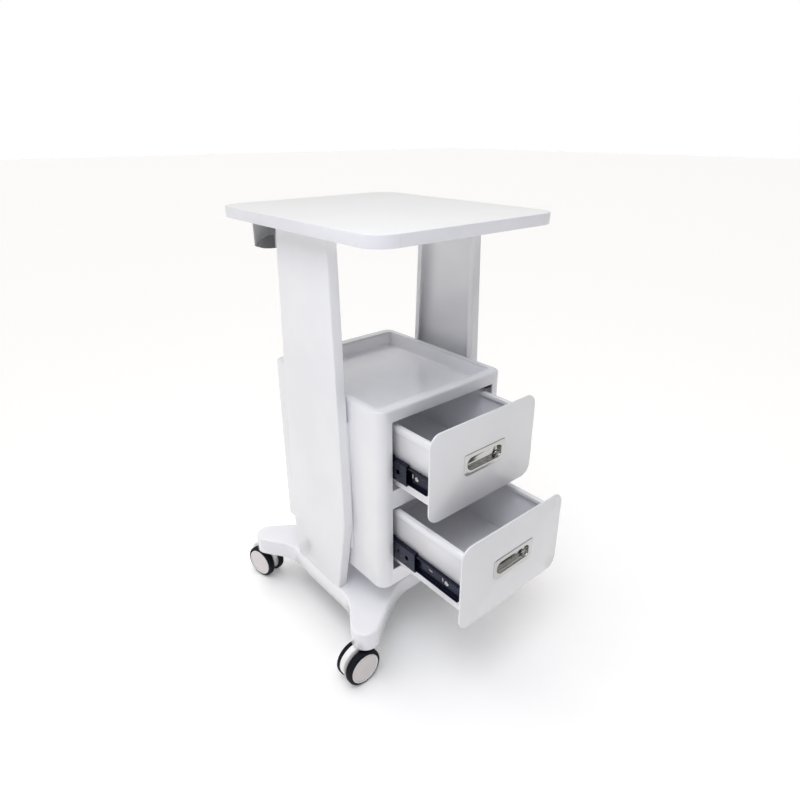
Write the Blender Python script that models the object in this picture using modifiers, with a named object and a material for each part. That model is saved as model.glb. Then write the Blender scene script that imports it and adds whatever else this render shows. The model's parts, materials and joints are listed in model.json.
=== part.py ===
"""Rolling two-drawer trolley.

Two folded steel uprights stand on an X-shaped base with four twin-wheel
castors. They carry a laminated top and, lower down, a hanging cabinet with a
tray on its lid and two drawers on three-part ball-bearing slides.

Lengths are in metres. X runs to the right, the drawers face -Y, and Z is up
from the floor. Every piece is placed from the cabinet's centre line, under one
empty that moves the whole trolley so that its box is centred on the origin.
"""

import math

import bmesh
import bpy
from mathutils import Matrix, Vector

# ---------------------------------------------------------------- dimensions
GAP = 0.0003                 # clearance kept between touching pieces
CENTRE_SHIFT = 0.0531        # cabinet centre to the middle of the whole box

TOP_HALF_WIDTH = 0.2085
TOP_FRONT = -0.241
TOP_REAR = 0.250
TOP_CORNER = 0.044
TOP_HEIGHT = 0.861
TOP_THICKNESS = 0.020
EDGE_BAND = 0.002

BASE_TOP = 0.1205
BASE_THICKNESS = 0.038
BASE_MIDDLE = 0.008          # the base sits a little behind the cabinet
BASE_SIDE = 0.1846
BASE_FRONT = 0.138
LEG_X, LEG_Y, LEG_END = 0.2005, 0.186, 0.0285
COVER_WALL = 0.003
BASE_PLATE = 0.004
SOCKET_LOW = 0.0892
SOCKET_RADIUS = 0.011
FOOT_BOLT_ENDS = {"front": -0.035, "rear": 0.055}
FOOT_BOLT_HOLE = 0.0044

UPRIGHT_OUTER = 0.1822
UPRIGHT_DEPTH = 0.0208
UPRIGHT_LIP = 0.013
UPRIGHT_SHEET = 0.0015
CABINET_BOLT_HEIGHT = 0.470
CABINET_BOLT_HOLE = 0.0033
HANGER_HEIGHTS, HANGER_REACH = (0.225, 0.505), 0.088
UPRIGHT_FRONT = ((-0.0647, BASE_TOP + GAP), (-0.0953, 0.2934), (-0.0805, 0.8407))
UPRIGHT_REAR = ((0.0895, BASE_TOP + GAP), (0.1014, 0.2680), (0.0796, 0.8407))

CABINET_HALF = (0.157, 0.1777)
CABINET_LOW, CABINET_RIM = 0.1764, 0.554
CABINET_CORNER = 0.020
CABINET_SHEET = 0.002
CABINET_FLOOR_SHEET = 0.0012
RIM_ROUND = 0.004
TRAY_HALF = (0.143, 0.1555)
TRAY_FLOOR = 0.5195
TRAY_SHEET = 0.001
OPENING_HALF = 0.1295
OPENINGS = ((0.3902, 0.5308), (0.2117, 0.3522))

FRONT_HALF = (0.1353, 0.0865)
FRONT_CORNER = 0.0246
FRONT_SHEET = 0.003
FRONT_CENTRES = {"upper": 0.4585, "lower": 0.2832}
DRAWN_OUT = {"upper": 0.098, "lower": 0.179}
BOX_HALF = 0.1166
BOX_LOW, BOX_HIGH = -0.0625, 0.0588     # from the front's centre height
BOX_DEPTH = 0.305
BOX_SHEET = 0.0011
HEM_HEIGHT, HEM_WIDTH, HEM_STEP = 0.0145, 0.010, 0.001

PULL_HALF = (0.053, 0.0215)
PULL_OPENING = (0.0445, 0.0122)
PULL_DEPTH = 0.011
PULL_PROUD = 0.0012

SLIDE_LENGTH = 0.300
SLIDE_DROP = -0.0215                    # slide centre below the front's centre
SLIDE_SHEET = 0.0012
SLIDE_OUTER_FRONT = -0.172
SLIDE_INNER_FRONT = 0.0103              # behind the drawer front's back face
SLIDE_HALF_HEIGHTS = {"outer": 0.0228, "middle": 0.0206, "inner": 0.0165}
MOUNT_FRONT, MOUNT_REAR = -0.160, 0.152
MOUNT_HEIGHTS = (0.198, 0.514)
MOUNT_FLANGE = 0.018
MOUNT_SHEET = 0.0012
MIDDLE_FRONT = {"upper": -0.212, "lower": -0.236}

WHEEL_RADIUS = 0.0375
WHEEL_WIDTH = 0.0165
WEB_HALF = 0.0065
CASTOR_TRAIL = 0.0212
AXLE_RADIUS = 0.004
STEM_RADIUS = 0.005
CASTOR_SPOTS = {                        # side, end, heading in degrees
    "front_left": (-1, -1, 90.0),
    "rear_left": (-1, 1, 14.0),
    "front_right": (1, -1, -90.0),
    "rear_right": (1, 1, -14.0),
}
CASTOR_X, CASTOR_Y = 0.199, 0.186
HOOD_LOW, HOOD_HIGH = 0.0290, 0.0450    # the hood's radius about the axle, low end and top
HOOD_FROM, HOOD_GROWTH = -60, 110       # degrees: the low end, and the arc over which the radius grows
NECK_LOW, NECK_HIGH = 0.0785, 0.0853
NECK_RADIUS = 0.0145
STEM_TOP = 0.1125
STEM_DEPTH = 0.0272                     # how far the stem's pin reaches into the neck
STEM_COLLAR = 0.010

HANDLE_HALF = 0.1663
HANDLE_FRONT, HANDLE_REAR = 0.1496, 0.195
HANDLE_FLOOR, HANDLE_LIP = 0.785, 0.027
HANDLE_CORNER = 0.020
HANDLE_WALL = 0.0025
HANDLE_FLANGE = 0.022

CORNER_STEPS = 5
X_AXIS, Z_AXIS = Vector((1, 0, 0)), Vector((0, 0, 1))


# ------------------------------------------------------------------- helpers
def clear_scene():
    for item in list(bpy.data.objects):
        bpy.data.objects.remove(item, do_unlink=True)


def new_collection(name):
    group = bpy.data.collections.new(name)
    bpy.context.scene.collection.children.link(group)
    return group


def linear(value):
    return value / 12.92 if value <= 0.04045 else ((value + 0.055) / 1.055) ** 2.4


def material(name, hex_colour, metallic, roughness):
    """A Principled BSDF whose colour is given as sRGB hex."""
    made = bpy.data.materials.new(name)
    made.use_nodes = True
    shader = made.node_tree.nodes["Principled BSDF"]
    rgb = [linear(int(hex_colour[i:i + 2], 16) / 255) for i in (1, 3, 5)]
    shader.inputs["Base Color"].default_value = (*rgb, 1)
    shader.inputs["Metallic"].default_value = metallic
    shader.inputs["Roughness"].default_value = roughness
    return made


def add_object(name, mesh, finish, parent):
    piece = bpy.data.objects.new(name, mesh)
    PARTS.objects.link(piece)
    piece.parent = parent
    if finish:
        mesh.materials.clear()
        mesh.materials.append(finish)
    return piece


def add_empty(name, location, parent=None, heading=0.0):
    empty = bpy.data.objects.new(name, None)
    empty.location = location
    empty.rotation_euler = (0, 0, math.radians(heading))
    empty.parent = parent
    PARTS.objects.link(empty)
    return empty


def mesh_from(bm, name):
    mesh = bpy.data.meshes.new(name)
    bm.to_mesh(mesh)
    bm.free()
    return mesh


def smooth(piece):
    piece.data.shade_smooth()
    piece.data.set_sharp_from_angle(angle=math.radians(35))


def rounded_ring(half_x, half_y, radius, z, steps=CORNER_STEPS):
    """Anticlockwise rounded rectangle about the Z axis."""
    points = []
    for quarter, (side_x, side_y) in enumerate(((1, 1), (-1, 1), (-1, -1), (1, -1))):
        for step in range(steps + 1):
            angle = math.radians(90) * (quarter + step / steps)
            points.append(Vector((
                side_x * (half_x - radius) + radius * math.cos(angle),
                side_y * (half_y - radius) + radius * math.sin(angle),
                z)))
    return points


def skin(name, rows, closed=True, first_cap=False, last_cap=False, flip=False):
    """Join rows of points into one surface. Going up, closed rows face out."""
    bm = bmesh.new()
    grid = [[bm.verts.new(point) for point in row] for row in rows]
    count = len(rows[0])
    for low, high in zip(grid, grid[1:]):
        for i in range(count if closed else count - 1):
            j = (i + 1) % count
            bm.faces.new((low[i], low[j], high[j], high[i]))
    if first_cap:
        bm.faces.new(reversed(grid[0]))
    if last_cap:
        bm.faces.new(grid[-1])
    bmesh.ops.remove_doubles(bm, verts=bm.verts, dist=0.00001)
    if flip:
        bmesh.ops.reverse_faces(bm, faces=bm.faces)
    return mesh_from(bm, name)


def thicken(piece, thickness):
    """Give a sheet its thickness, on the side its faces turn away from."""
    solid = piece.modifiers.new("Sheet", "SOLIDIFY")
    solid.thickness = thickness
    solid.offset = -1
    solid.solidify_mode = "NON_MANIFOLD"
    solid.nonmanifold_thickness_mode = "CONSTRAINTS"


def flat_plate(name, loops, low, high, finish, parent):
    """A plate between two heights, from an outline and any holes in it."""
    curve = bpy.data.curves.new(name, "CURVE")
    curve.dimensions = "2D"
    curve.fill_mode = "BOTH"
    curve.extrude = (high - low) / 2
    for loop in loops:
        spline = curve.splines.new("POLY")
        spline.points.add(len(loop) - 1)
        for point, corner in zip(spline.points, loop):
            point.co = (corner[0], corner[1], 0, 1)
        spline.use_cyclic_u = True
    drawn = bpy.data.objects.new(name + "_outline", curve)
    PARTS.objects.link(drawn)
    drawn.location = (0, 0, (low + high) / 2)
    mesh = weld_curve(drawn, name)
    return add_object(name, mesh, finish, parent)


def weld_curve(drawn, name):
    """Turn a curve object into a closed mesh and remove the curve."""
    bpy.context.view_layer.update()
    graph = bpy.context.evaluated_depsgraph_get()
    mesh = bpy.data.meshes.new_from_object(drawn.evaluated_get(graph), depsgraph=graph)
    bm = bmesh.new()
    bm.from_mesh(mesh)
    bmesh.ops.remove_doubles(bm, verts=bm.verts, dist=0.00001)
    bmesh.ops.recalc_face_normals(bm, faces=bm.faces)
    bm.transform(drawn.matrix_world)
    bm.to_mesh(mesh)
    bm.free()
    mesh.name = name
    bpy.data.objects.remove(drawn, do_unlink=True)
    return mesh


def turned(name, profile, steps=16):
    """Spin (height, radius) points about Z into a closed mesh."""
    bm = bmesh.new()
    chain = [bm.verts.new((radius, 0, height)) for height, radius in profile]
    edges = [bm.edges.new(pair) for pair in zip(chain, chain[1:])]
    bmesh.ops.spin(bm, geom=chain + edges, cent=(0, 0, 0), axis=(0, 0, 1),
                   angle=math.tau, steps=steps, use_duplicate=False)
    bmesh.ops.remove_doubles(bm, verts=bm.verts, dist=0.00001)
    bmesh.ops.recalc_face_normals(bm, faces=bm.faces)
    return mesh_from(bm, name)


def aimed(point, direction):
    """Matrix that carries a shape along Z to a point and a direction."""
    turn = Z_AXIS.rotation_difference(Vector(direction)).to_matrix().to_4x4()
    return Matrix.Translation(point) @ turn


def cutter(name, mesh, parent):
    """A tool that is only ever subtracted or joined, never built."""
    tool = bpy.data.objects.new(name, mesh)
    CUTTERS.objects.link(tool)
    tool.parent = parent
    tool.hide_render = True
    tool.display_type = "WIRE"
    return tool


def combine(piece, tool, operation="DIFFERENCE"):
    step = piece.modifiers.new(tool.name, "BOOLEAN")
    step.operation = operation
    step.object = tool
    step.solver = "EXACT"


def drill(piece, spots, direction, radius, low, high, steps=10):
    """Round holes along a direction, from low to high past each spot."""
    bm = bmesh.new()
    for spot in spots:
        centre = Vector(spot) + Vector(direction) * (low + high) / 2
        bmesh.ops.create_cone(bm, cap_ends=True, segments=steps, radius1=radius,
                              radius2=radius, depth=high - low,
                              matrix=aimed(centre, direction))
    name = piece.name + "_holes_" + str(len(piece.modifiers))
    combine(piece, cutter(name, mesh_from(bm, name), piece.parent))


def box_mesh(low, high, name):
    bm = bmesh.new()
    size = Vector(high) - Vector(low)
    middle = (Vector(high) + Vector(low)) / 2
    place = Matrix.Translation(middle) @ Matrix.Diagonal((*size, 1))
    bmesh.ops.create_cube(bm, size=1, matrix=place)
    return mesh_from(bm, name)


def cut_box(piece, low, high):
    name = piece.name + "_cut_" + str(len(piece.modifiers))
    combine(piece, cutter(name, box_mesh(low, high, name), piece.parent))


def folded(name, section, start, end, thickness, finish, parent, flip=False):
    """A folded channel: an (x, z) section carried from y = start to y = end."""
    rows = [[Vector((x, y, z)) for x, z in section] for y in (start, end)]
    piece = add_object(name, skin(name, rows, closed=False, flip=flip), finish, parent)
    thicken(piece, thickness)
    return piece


# ------------------------------------------------------------------ tabletop
def top_outline(inset):
    ring = rounded_ring(TOP_HALF_WIDTH - inset, (TOP_REAR - TOP_FRONT) / 2 - inset,
                        TOP_CORNER - inset, 0, steps=8)
    middle = (TOP_REAR + TOP_FRONT) / 2
    return [Vector((p.x, p.y + middle)) for p in ring]


def make_tabletop():
    low, high = TOP_HEIGHT - TOP_THICKNESS, TOP_HEIGHT
    flat_plate("tabletop_board", [top_outline(EDGE_BAND + GAP)], low, high, LAMINATE, TROLLEY)
    band_loops = [top_outline(0), top_outline(EDGE_BAND)]
    flat_plate("tabletop_edge_band", band_loops, low, high, EDGING, TROLLEY)


# ------------------------------------------------------------------ uprights
def upright_row(level, side):
    """One level of the channel: lip, flange, web, flange and lip."""
    front_y, front_z = UPRIGHT_FRONT[level]
    rear_y, rear_z = UPRIGHT_REAR[level]
    outer, inner = side * UPRIGHT_OUTER, side * (UPRIGHT_OUTER - UPRIGHT_DEPTH)
    return [Vector((inner, front_y + UPRIGHT_LIP, front_z)),
            Vector((inner, front_y, front_z)),
            Vector((outer, front_y, front_z)),
            Vector((outer, rear_y, rear_z)),
            Vector((inner, rear_y, rear_z)),
            Vector((inner, rear_y - UPRIGHT_LIP, rear_z))]


def make_upright(name, side):
    rows = [upright_row(level, side) for level in range(3)]
    mesh = skin(name, rows, closed=False, first_cap=True, last_cap=True, flip=side < 0)
    upright = add_object(name, mesh, WHITE_STEEL, TROLLEY)
    thicken(upright, UPRIGHT_SHEET)
    drill(upright, on_side(cabinet_bolt_spots(), side), X_AXIS * side,
          CABINET_BOLT_HOLE, -0.002, 0.012)
    drill(upright, on_side(foot_bolt_spots(), side), Z_AXIS, FOOT_BOLT_HOLE, -0.003, 0.006)


def foot_bolt_spots():
    """Seats of the bolts that hold each upright's foot to the base."""
    x = UPRIGHT_OUTER - UPRIGHT_DEPTH * 0.5
    return {side_word + "_" + end_word: (side * x, y, BASE_TOP + GAP)
            for side, side_word in ((-1, "left"), (1, "right"))
            for end_word, y in FOOT_BOLT_ENDS.items()}


def edge_at(edge, height):
    """Y of an upright's front or rear edge at a height."""
    for (y0, z0), (y1, z1) in zip(edge, edge[1:]):
        if z0 <= height <= z1:
            return y0 + (y1 - y0) * (height - z0) / (z1 - z0)
    return edge[-1][0]


def cabinet_bolt_spots():
    """Where each cabinet bolt passes the shell's outer side face."""
    front = edge_at(UPRIGHT_FRONT, CABINET_BOLT_HEIGHT) + UPRIGHT_LIP * 0.55
    rear = edge_at(UPRIGHT_REAR, CABINET_BOLT_HEIGHT) - UPRIGHT_LIP * 0.55
    return {side_word + "_" + end_word: (side * CABINET_HALF[0], y, CABINET_BOLT_HEIGHT)
            for side, side_word in ((-1, "left"), (1, "right"))
            for y, end_word in ((front, "front"), (rear, "rear"))}


def on_side(spots, side):
    return [spot for spot in spots.values() if spot[0] * side > 0]


def make_cabinet_hanger(name, side):
    """Flat bar that fills the gap between the shell and the upright's lips."""
    near = CABINET_HALF[0] + GAP
    far = UPRIGHT_OUTER - UPRIGHT_DEPTH - GAP
    low, high = HANGER_HEIGHTS
    mesh = box_mesh((min(side * near, side * far), -HANGER_REACH, low),
                    (max(side * near, side * far), HANGER_REACH, high), name)
    hanger = add_object(name, mesh, WHITE_STEEL, TROLLEY)
    drill(hanger, on_side(cabinet_bolt_spots(), side), X_AXIS * side,
          CABINET_BOLT_HOLE, -0.01, 0.01)


def make_cabinet_bolts():
    """Each has its head inside the cabinet and its nut inside the upright."""
    profile = [(0.0125, 0), (0.0125, 0.003), (-0.0023, 0.003), (-0.0023, 0.0052),
               (-0.0045, 0.0052), (-0.0055, 0.004), (-0.0055, 0)]
    for word, spot in cabinet_bolt_spots().items():
        bolt = add_object("cabinet_bolt_" + word, turned("cabinet_bolt", profile, 12), ZINC, TROLLEY)
        bolt.matrix_local = aimed(spot, X_AXIS * math.copysign(1, spot[0]))
        smooth(bolt)


# ------------------------------------------------------------------- cabinet
def make_cabinet_shell():
    half_x, half_y = CABINET_HALF
    inset = 0.0012
    rows = [rounded_ring(half_x, half_y, CABINET_CORNER, CABINET_LOW),
            rounded_ring(half_x, half_y, CABINET_CORNER, CABINET_RIM - RIM_ROUND),
            rounded_ring(half_x - inset, half_y - inset, CABINET_CORNER - inset,
                         CABINET_RIM - inset),
            rounded_ring(half_x - RIM_ROUND, half_y - RIM_ROUND, CABINET_CORNER - RIM_ROUND,
                         CABINET_RIM),
            rounded_ring(*TRAY_HALF, 0.008, CABINET_RIM)]
    shell = add_object("cabinet_shell", skin("cabinet_shell", rows), WHITE_STEEL, TROLLEY)
    thicken(shell, CABINET_SHEET)
    for low, high in OPENINGS:
        cut_box(shell, (-OPENING_HALF, -half_y - 0.01, low), (OPENING_HALF, -half_y + 0.03, high))
    for side in (-1, 1):
        drill(shell, on_side(cabinet_bolt_spots(), side), X_AXIS * side,
              CABINET_BOLT_HOLE, -0.006, 0.004)


def make_tray():
    half_x, half_y = TRAY_HALF[0] + TRAY_SHEET, TRAY_HALF[1] + TRAY_SHEET
    low, high = TRAY_FLOOR - TRAY_SHEET, CABINET_RIM - CABINET_SHEET - GAP
    flange = 0.008
    rows = [rounded_ring(half_x - 0.003, half_y - 0.003, 0.006, low),
            rounded_ring(half_x, half_y, 0.009, low + 0.003),
            rounded_ring(half_x, half_y, 0.009, high - TRAY_SHEET),
            rounded_ring(half_x + flange, half_y + flange, 0.013, high - TRAY_SHEET)]
    tray = add_object("cabinet_tray", skin("cabinet_tray", rows, first_cap=True),
                      GLOSS_WHITE, TROLLEY)
    thicken(tray, TRAY_SHEET)


def make_cabinet_floor():
    half_x = CABINET_HALF[0] - CABINET_SHEET - GAP
    half_y = CABINET_HALF[1] - CABINET_SHEET - GAP
    corner = CABINET_CORNER - CABINET_SHEET - GAP
    rows = [rounded_ring(half_x, half_y, corner, CABINET_LOW + 0.002),
            rounded_ring(half_x, half_y, corner, CABINET_LOW + 0.018)]
    floor = add_object("cabinet_floor", skin("cabinet_floor", rows, first_cap=True),
                       WHITE_STEEL, TROLLEY)
    thicken(floor, CABINET_FLOOR_SHEET)


def make_slide_mount(name, side):
    """Channel inside the cabinet that the slides screw to."""
    face = OPENING_HALF
    back = CABINET_HALF[0] - CABINET_SHEET - 0.0016
    front, rear = MOUNT_FRONT, MOUNT_REAR
    section = [(back, front + MOUNT_FLANGE), (back, front), (face, front),
               (face, rear), (back, rear), (back, rear - MOUNT_FLANGE)]
    rows = [[Vector((side * x, y, z)) for x, y in section] for z in MOUNT_HEIGHTS]
    mesh = skin(name, rows, closed=False, flip=side > 0)
    mount = add_object(name, mesh, WHITE_STEEL, TROLLEY)
    thicken(mount, MOUNT_SHEET)


# ---------------------------------------------------------------------- base
def bezier(p0, p1, p2, p3, count):
    """Points on a cubic curve, without its last one."""
    points = []
    for i in range(count):
        t = i / count
        s = 1 - t
        points.append(p0 * s**3 + p1 * 3 * s * s * t + p2 * 3 * s * t * t + p3 * t**3)
    return points


def base_quarter():
    """Outline from the right side forward round one leg to the front edge."""
    leg = Vector((LEG_X, -LEG_Y))
    flare_angle, inner_angle = math.radians(30.7), math.radians(-124.8)
    flare = Vector((math.cos(flare_angle), math.sin(flare_angle)))
    inner = Vector((math.cos(inner_angle), math.sin(inner_angle)))
    side = Vector((BASE_SIDE, -0.0916))
    flare_end = leg + flare * LEG_END
    points = bezier(side, side + Vector((0, -0.030)),
                    flare_end - Vector((flare.y, -flare.x)) * 0.035, flare_end, 7)
    for step in range(10):
        angle = flare_angle + (inner_angle - flare_angle) * step / 10
        points.append(leg + Vector((math.cos(angle), math.sin(angle))) * LEG_END)
    inner_start = leg + inner * LEG_END
    edge = Vector((0.050, -BASE_FRONT))
    points += bezier(inner_start, inner_start + Vector((inner.y, -inner.x)) * 0.040,
                     edge + Vector((0.040, 0)), edge, 7)
    points.append(edge)
    return points


def base_outline(inset=0.0):
    """Anticlockwise outline of the whole base, moved in by an inset."""
    quarter = base_quarter()
    front = [Vector((-p.x, p.y)) for p in quarter] + quarter[::-1]
    rear = [Vector((-p.x, -p.y)) for p in front]
    loop = front + rear
    moved = []
    for i, point in enumerate(loop):
        along = (loop[(i + 1) % len(loop)] - loop[i - 1]).normalized()
        moved.append(point + Vector((-along.y, along.x)) * inset)
    return [Vector((p.x, p.y + BASE_MIDDLE)) for p in moved]


def make_base_cover():
    levels = [(0, BASE_TOP - BASE_THICKNESS), (0, BASE_TOP - 0.005),
              (0.0014, BASE_TOP - 0.0015), (0.0048, BASE_TOP)]
    rows = [[Vector((p.x, p.y, z)) for p in base_outline(inset)] for inset, z in levels]
    cover = add_object("base_cover", skin("base_cover", rows, last_cap=True), GLOSS_WHITE, TROLLEY)
    thicken(cover, COVER_WALL)
    drill(cover, foot_bolt_spots().values(), Z_AXIS, FOOT_BOLT_HOLE, -0.01, 0.006)


def plate_top():
    return BASE_TOP - COVER_WALL - GAP


def castor_spots():
    return {name: (side * CASTOR_X, BASE_MIDDLE + end * CASTOR_Y)
            for name, (side, end, _) in CASTOR_SPOTS.items()}


def make_base_plate():
    high = plate_top()
    low = high - BASE_PLATE
    loop = [(p.x, p.y) for p in base_outline(COVER_WALL + 0.0022)]
    plate = flat_plate("base_plate", [loop], low, high, DARK_STEEL, TROLLEY)
    bm = bmesh.new()
    for x, y in castor_spots().values():
        place = Matrix.Translation((x, y, (low + SOCKET_LOW) / 2 + 0.001))
        bmesh.ops.create_cone(bm, cap_ends=True, segments=20, radius1=SOCKET_RADIUS,
                              radius2=SOCKET_RADIUS, depth=low - SOCKET_LOW + 0.002,
                              matrix=place)
    combine(plate, cutter("castor_sockets", mesh_from(bm, "castor_sockets"), TROLLEY), "UNION")
    bores = [(x, y, SOCKET_LOW) for x, y in castor_spots().values()]
    drill(plate, bores, Z_AXIS, STEM_RADIUS + GAP, -0.01, 0.05, steps=16)
    drill(plate, foot_bolt_spots().values(), Z_AXIS, FOOT_BOLT_HOLE, -0.02, 0.006)


def make_foot_bolts():
    """Head on the upright's foot, nut under the base plate."""
    seat = UPRIGHT_SHEET + GAP
    grip = BASE_TOP - plate_top() + BASE_PLATE + 3 * GAP
    profile = [(seat + 0.005, 0), (seat + 0.005, 0.0065), (seat, 0.0065), (seat, 0.004),
               (-grip, 0.004), (-grip, 0.0068), (-grip - 0.0065, 0.0068), (-grip - 0.0065, 0)]
    for word, spot in foot_bolt_spots().items():
        bolt = add_object("foot_bolt_" + word, turned("foot_bolt", profile, 12), ZINC, TROLLEY)
        bolt.location = spot
        smooth(bolt)


# ------------------------------------------------------------------- castors
def web_outline():
    """Side outline of the castor's body in (y, z), the swivel axis at y = 0."""
    centre = Vector((CASTOR_TRAIL, WHEEL_RADIUS))
    hood = []
    for degrees in range(HOOD_FROM, 79, 12):
        angle = math.radians(degrees)
        growth = min(1, (degrees - HOOD_FROM) / HOOD_GROWTH)
        radius = HOOD_LOW + (HOOD_HIGH - HOOD_LOW) * growth * growth * (3 - 2 * growth)
        hood.append(centre + Vector((math.cos(angle), math.sin(angle))) * radius)
    neck = [Vector((0.013, NECK_LOW)), Vector((-0.013, NECK_LOW)), Vector((-NECK_RADIUS, 0.068))]
    heel = [centre + Vector((math.cos(a), math.sin(a))) * 0.0285
            for a in (math.radians(d) for d in range(195, 301, 15))]
    return hood + neck + heel


def make_castor(name, swivel):
    outline = web_outline()
    housing = flat_plate("castor_" + name + "_housing", [outline], -WEB_HALF, WEB_HALF,
                         WHITE_NYLON, swivel)
    housing.data.transform(Matrix(((0, 0, 1, 0), (1, 0, 0, 0), (0, 1, 0, 0), (0, 0, 0, 1))))
    bm = bmesh.new()
    place = Matrix.Translation((0, 0, (NECK_LOW - 0.002 + NECK_HIGH) / 2))
    bmesh.ops.create_cone(bm, cap_ends=True, segments=24, radius1=NECK_RADIUS,
                          radius2=NECK_RADIUS - 0.0017, depth=NECK_HIGH - NECK_LOW + 0.002,
                          matrix=place)
    neck_name = "castor_" + name + "_neck"
    combine(housing, cutter(neck_name, mesh_from(bm, neck_name), swivel), "UNION")
    drill(housing, [(0, 0, NECK_HIGH)], Z_AXIS, STEM_RADIUS + GAP, -0.0275, 0.01, steps=16)
    axle_spot = (0, CASTOR_TRAIL, WHEEL_RADIUS)
    drill(housing, [axle_spot], X_AXIS, AXLE_RADIUS + GAP, -0.02, 0.02, steps=16)

    profile = [(NECK_HIGH - STEM_DEPTH, 0), (NECK_HIGH - STEM_DEPTH, STEM_RADIUS),
               (NECK_HIGH + GAP, STEM_RADIUS), (NECK_HIGH + GAP, STEM_COLLAR),
               (SOCKET_LOW - GAP, STEM_COLLAR), (SOCKET_LOW - GAP, STEM_RADIUS),
               (STEM_TOP, STEM_RADIUS), (STEM_TOP, 0)]
    stem = add_object("castor_" + name + "_stem", turned("stem", profile, 16), ZINC, TROLLEY)
    stem.location = swivel.location
    smooth(stem)

    half = WEB_HALF + 0.0115
    axle = add_object("castor_" + name + "_axle",
                      turned("axle", [(-half, 0), (-half, AXLE_RADIUS), (half, AXLE_RADIUS),
                                      (half, 0)], 16), ZINC, swivel)
    axle.matrix_local = aimed(axle_spot, X_AXIS)
    smooth(axle)
    for side, word in ((-1, "left"), (1, "right")):
        make_wheel("castor_" + name + "_wheel_" + word, side, swivel)


def make_wheel(name, side, swivel):
    """A nylon wheel with its rubber tyre; the blind bore takes the axle."""
    width, radius = WHEEL_WIDTH, WHEEL_RADIUS
    profile = [(width - 0.0012, 0), (width, 0.0285), (width - 0.0012, 0.0312),
               (width - 0.0030, 0.0358), (width - 0.0060, radius), (0.0045, radius),
               (0.0008, 0.0352), (0.0, 0.026), (0.0, AXLE_RADIUS + GAP),
               (0.0120, AXLE_RADIUS + GAP), (0.0120, 0)]
    wheel = add_object(name, turned(name, profile, 32), RUBBER, swivel)
    spot = (side * (WEB_HALF + 0.0005), CASTOR_TRAIL, WHEEL_RADIUS)
    wheel.matrix_local = aimed(spot, X_AXIS * side)
    smooth(wheel)


def make_castors():
    for name, (_, _, heading) in CASTOR_SPOTS.items():
        x, y = castor_spots()[name]
        swivel = add_empty("castor_" + name + "_swivel", (x, y, 0), TROLLEY, heading)
        make_castor(name, swivel)


# ------------------------------------------------------------------- drawers
def plate_back():
    """Y of a shut drawer front's back face."""
    return -CABINET_HALF[1] - 0.0005


def make_drawer_front(level, drawer):
    name = level + "_drawer_front"
    turn = Matrix.Rotation(math.radians(90), 4, "X")
    outline = rounded_ring(*FRONT_HALF, FRONT_CORNER, 0, steps=8)
    hole = rounded_ring(PULL_OPENING[0] + 0.0018, PULL_OPENING[1] + 0.0018, 0.0125, 0)
    front = flat_plate(name, [outline, hole], 0, FRONT_SHEET, WHITE_STEEL, drawer)
    front.data.transform(turn)


def make_drawer_box(level, drawer):
    """Folded sheet box with a hem round its top, behind the front."""
    name = level + "_drawer_box"
    middle = GAP + BOX_DEPTH / 2
    half_y = BOX_DEPTH / 2
    levels = [(0, BOX_LOW), (0, BOX_HIGH - HEM_HEIGHT),
              (HEM_STEP, BOX_HIGH - HEM_HEIGHT + HEM_STEP), (HEM_STEP, BOX_HIGH),
              (HEM_STEP - HEM_WIDTH, BOX_HIGH), (HEM_STEP - HEM_WIDTH, BOX_HIGH - 0.007)]
    rows = []
    for grow, z in levels:
        ring = rounded_ring(BOX_HALF + grow, half_y - HEM_STEP + grow, 0.012 + grow, z, steps=2)
        rows.append([Vector((p.x, p.y + middle, p.z)) for p in ring])
    box = add_object(name, skin(name, rows, first_cap=True), WHITE_STEEL, drawer)
    thicken(box, BOX_SHEET)
    half_x, half_z = PULL_OPENING[0] + 0.003, PULL_OPENING[1] + 0.003
    cut_box(box, (-half_x, -0.01, -half_z), (half_x, 0.01, half_z))


def make_pull(level, drawer):
    """One-piece flush pull: a raised flange round a recessed cup."""
    name = level + "_drawer_pull"
    rows = [rounded_ring(PULL_HALF[0], PULL_HALF[1], 0.008, GAP),
            rounded_ring(PULL_HALF[0], PULL_HALF[1], 0.008, PULL_PROUD),
            rounded_ring(PULL_OPENING[0], PULL_OPENING[1], 0.0115, PULL_PROUD),
            rounded_ring(PULL_OPENING[0] - 0.001, PULL_OPENING[1] - 0.001, 0.0105, -PULL_DEPTH)]
    mesh = skin(name, rows, last_cap=True)
    mesh.transform(Matrix.Translation((0, -FRONT_SHEET, 0)) @ Matrix.Rotation(math.radians(90), 4, "X"))
    pull = add_object(name, mesh, CHROME, drawer)
    thicken(pull, 0.0007)


def slide_section(back, mouth, half_height, flip):
    """C section in (x, z) for the left slide, its back towards one side."""
    section = [(mouth, half_height), (back, half_height), (back, -half_height),
               (mouth, -half_height)]
    return section[::-1] if flip else section


def make_slide_member(name, side, section, y_range, z, parent):
    placed = [(side * x, z + dz) for x, dz in section]
    if side < 0:
        placed = placed[::-1]
    return folded(name, placed, *y_range, SLIDE_SHEET, SLIDE_BLACK, parent)


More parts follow.
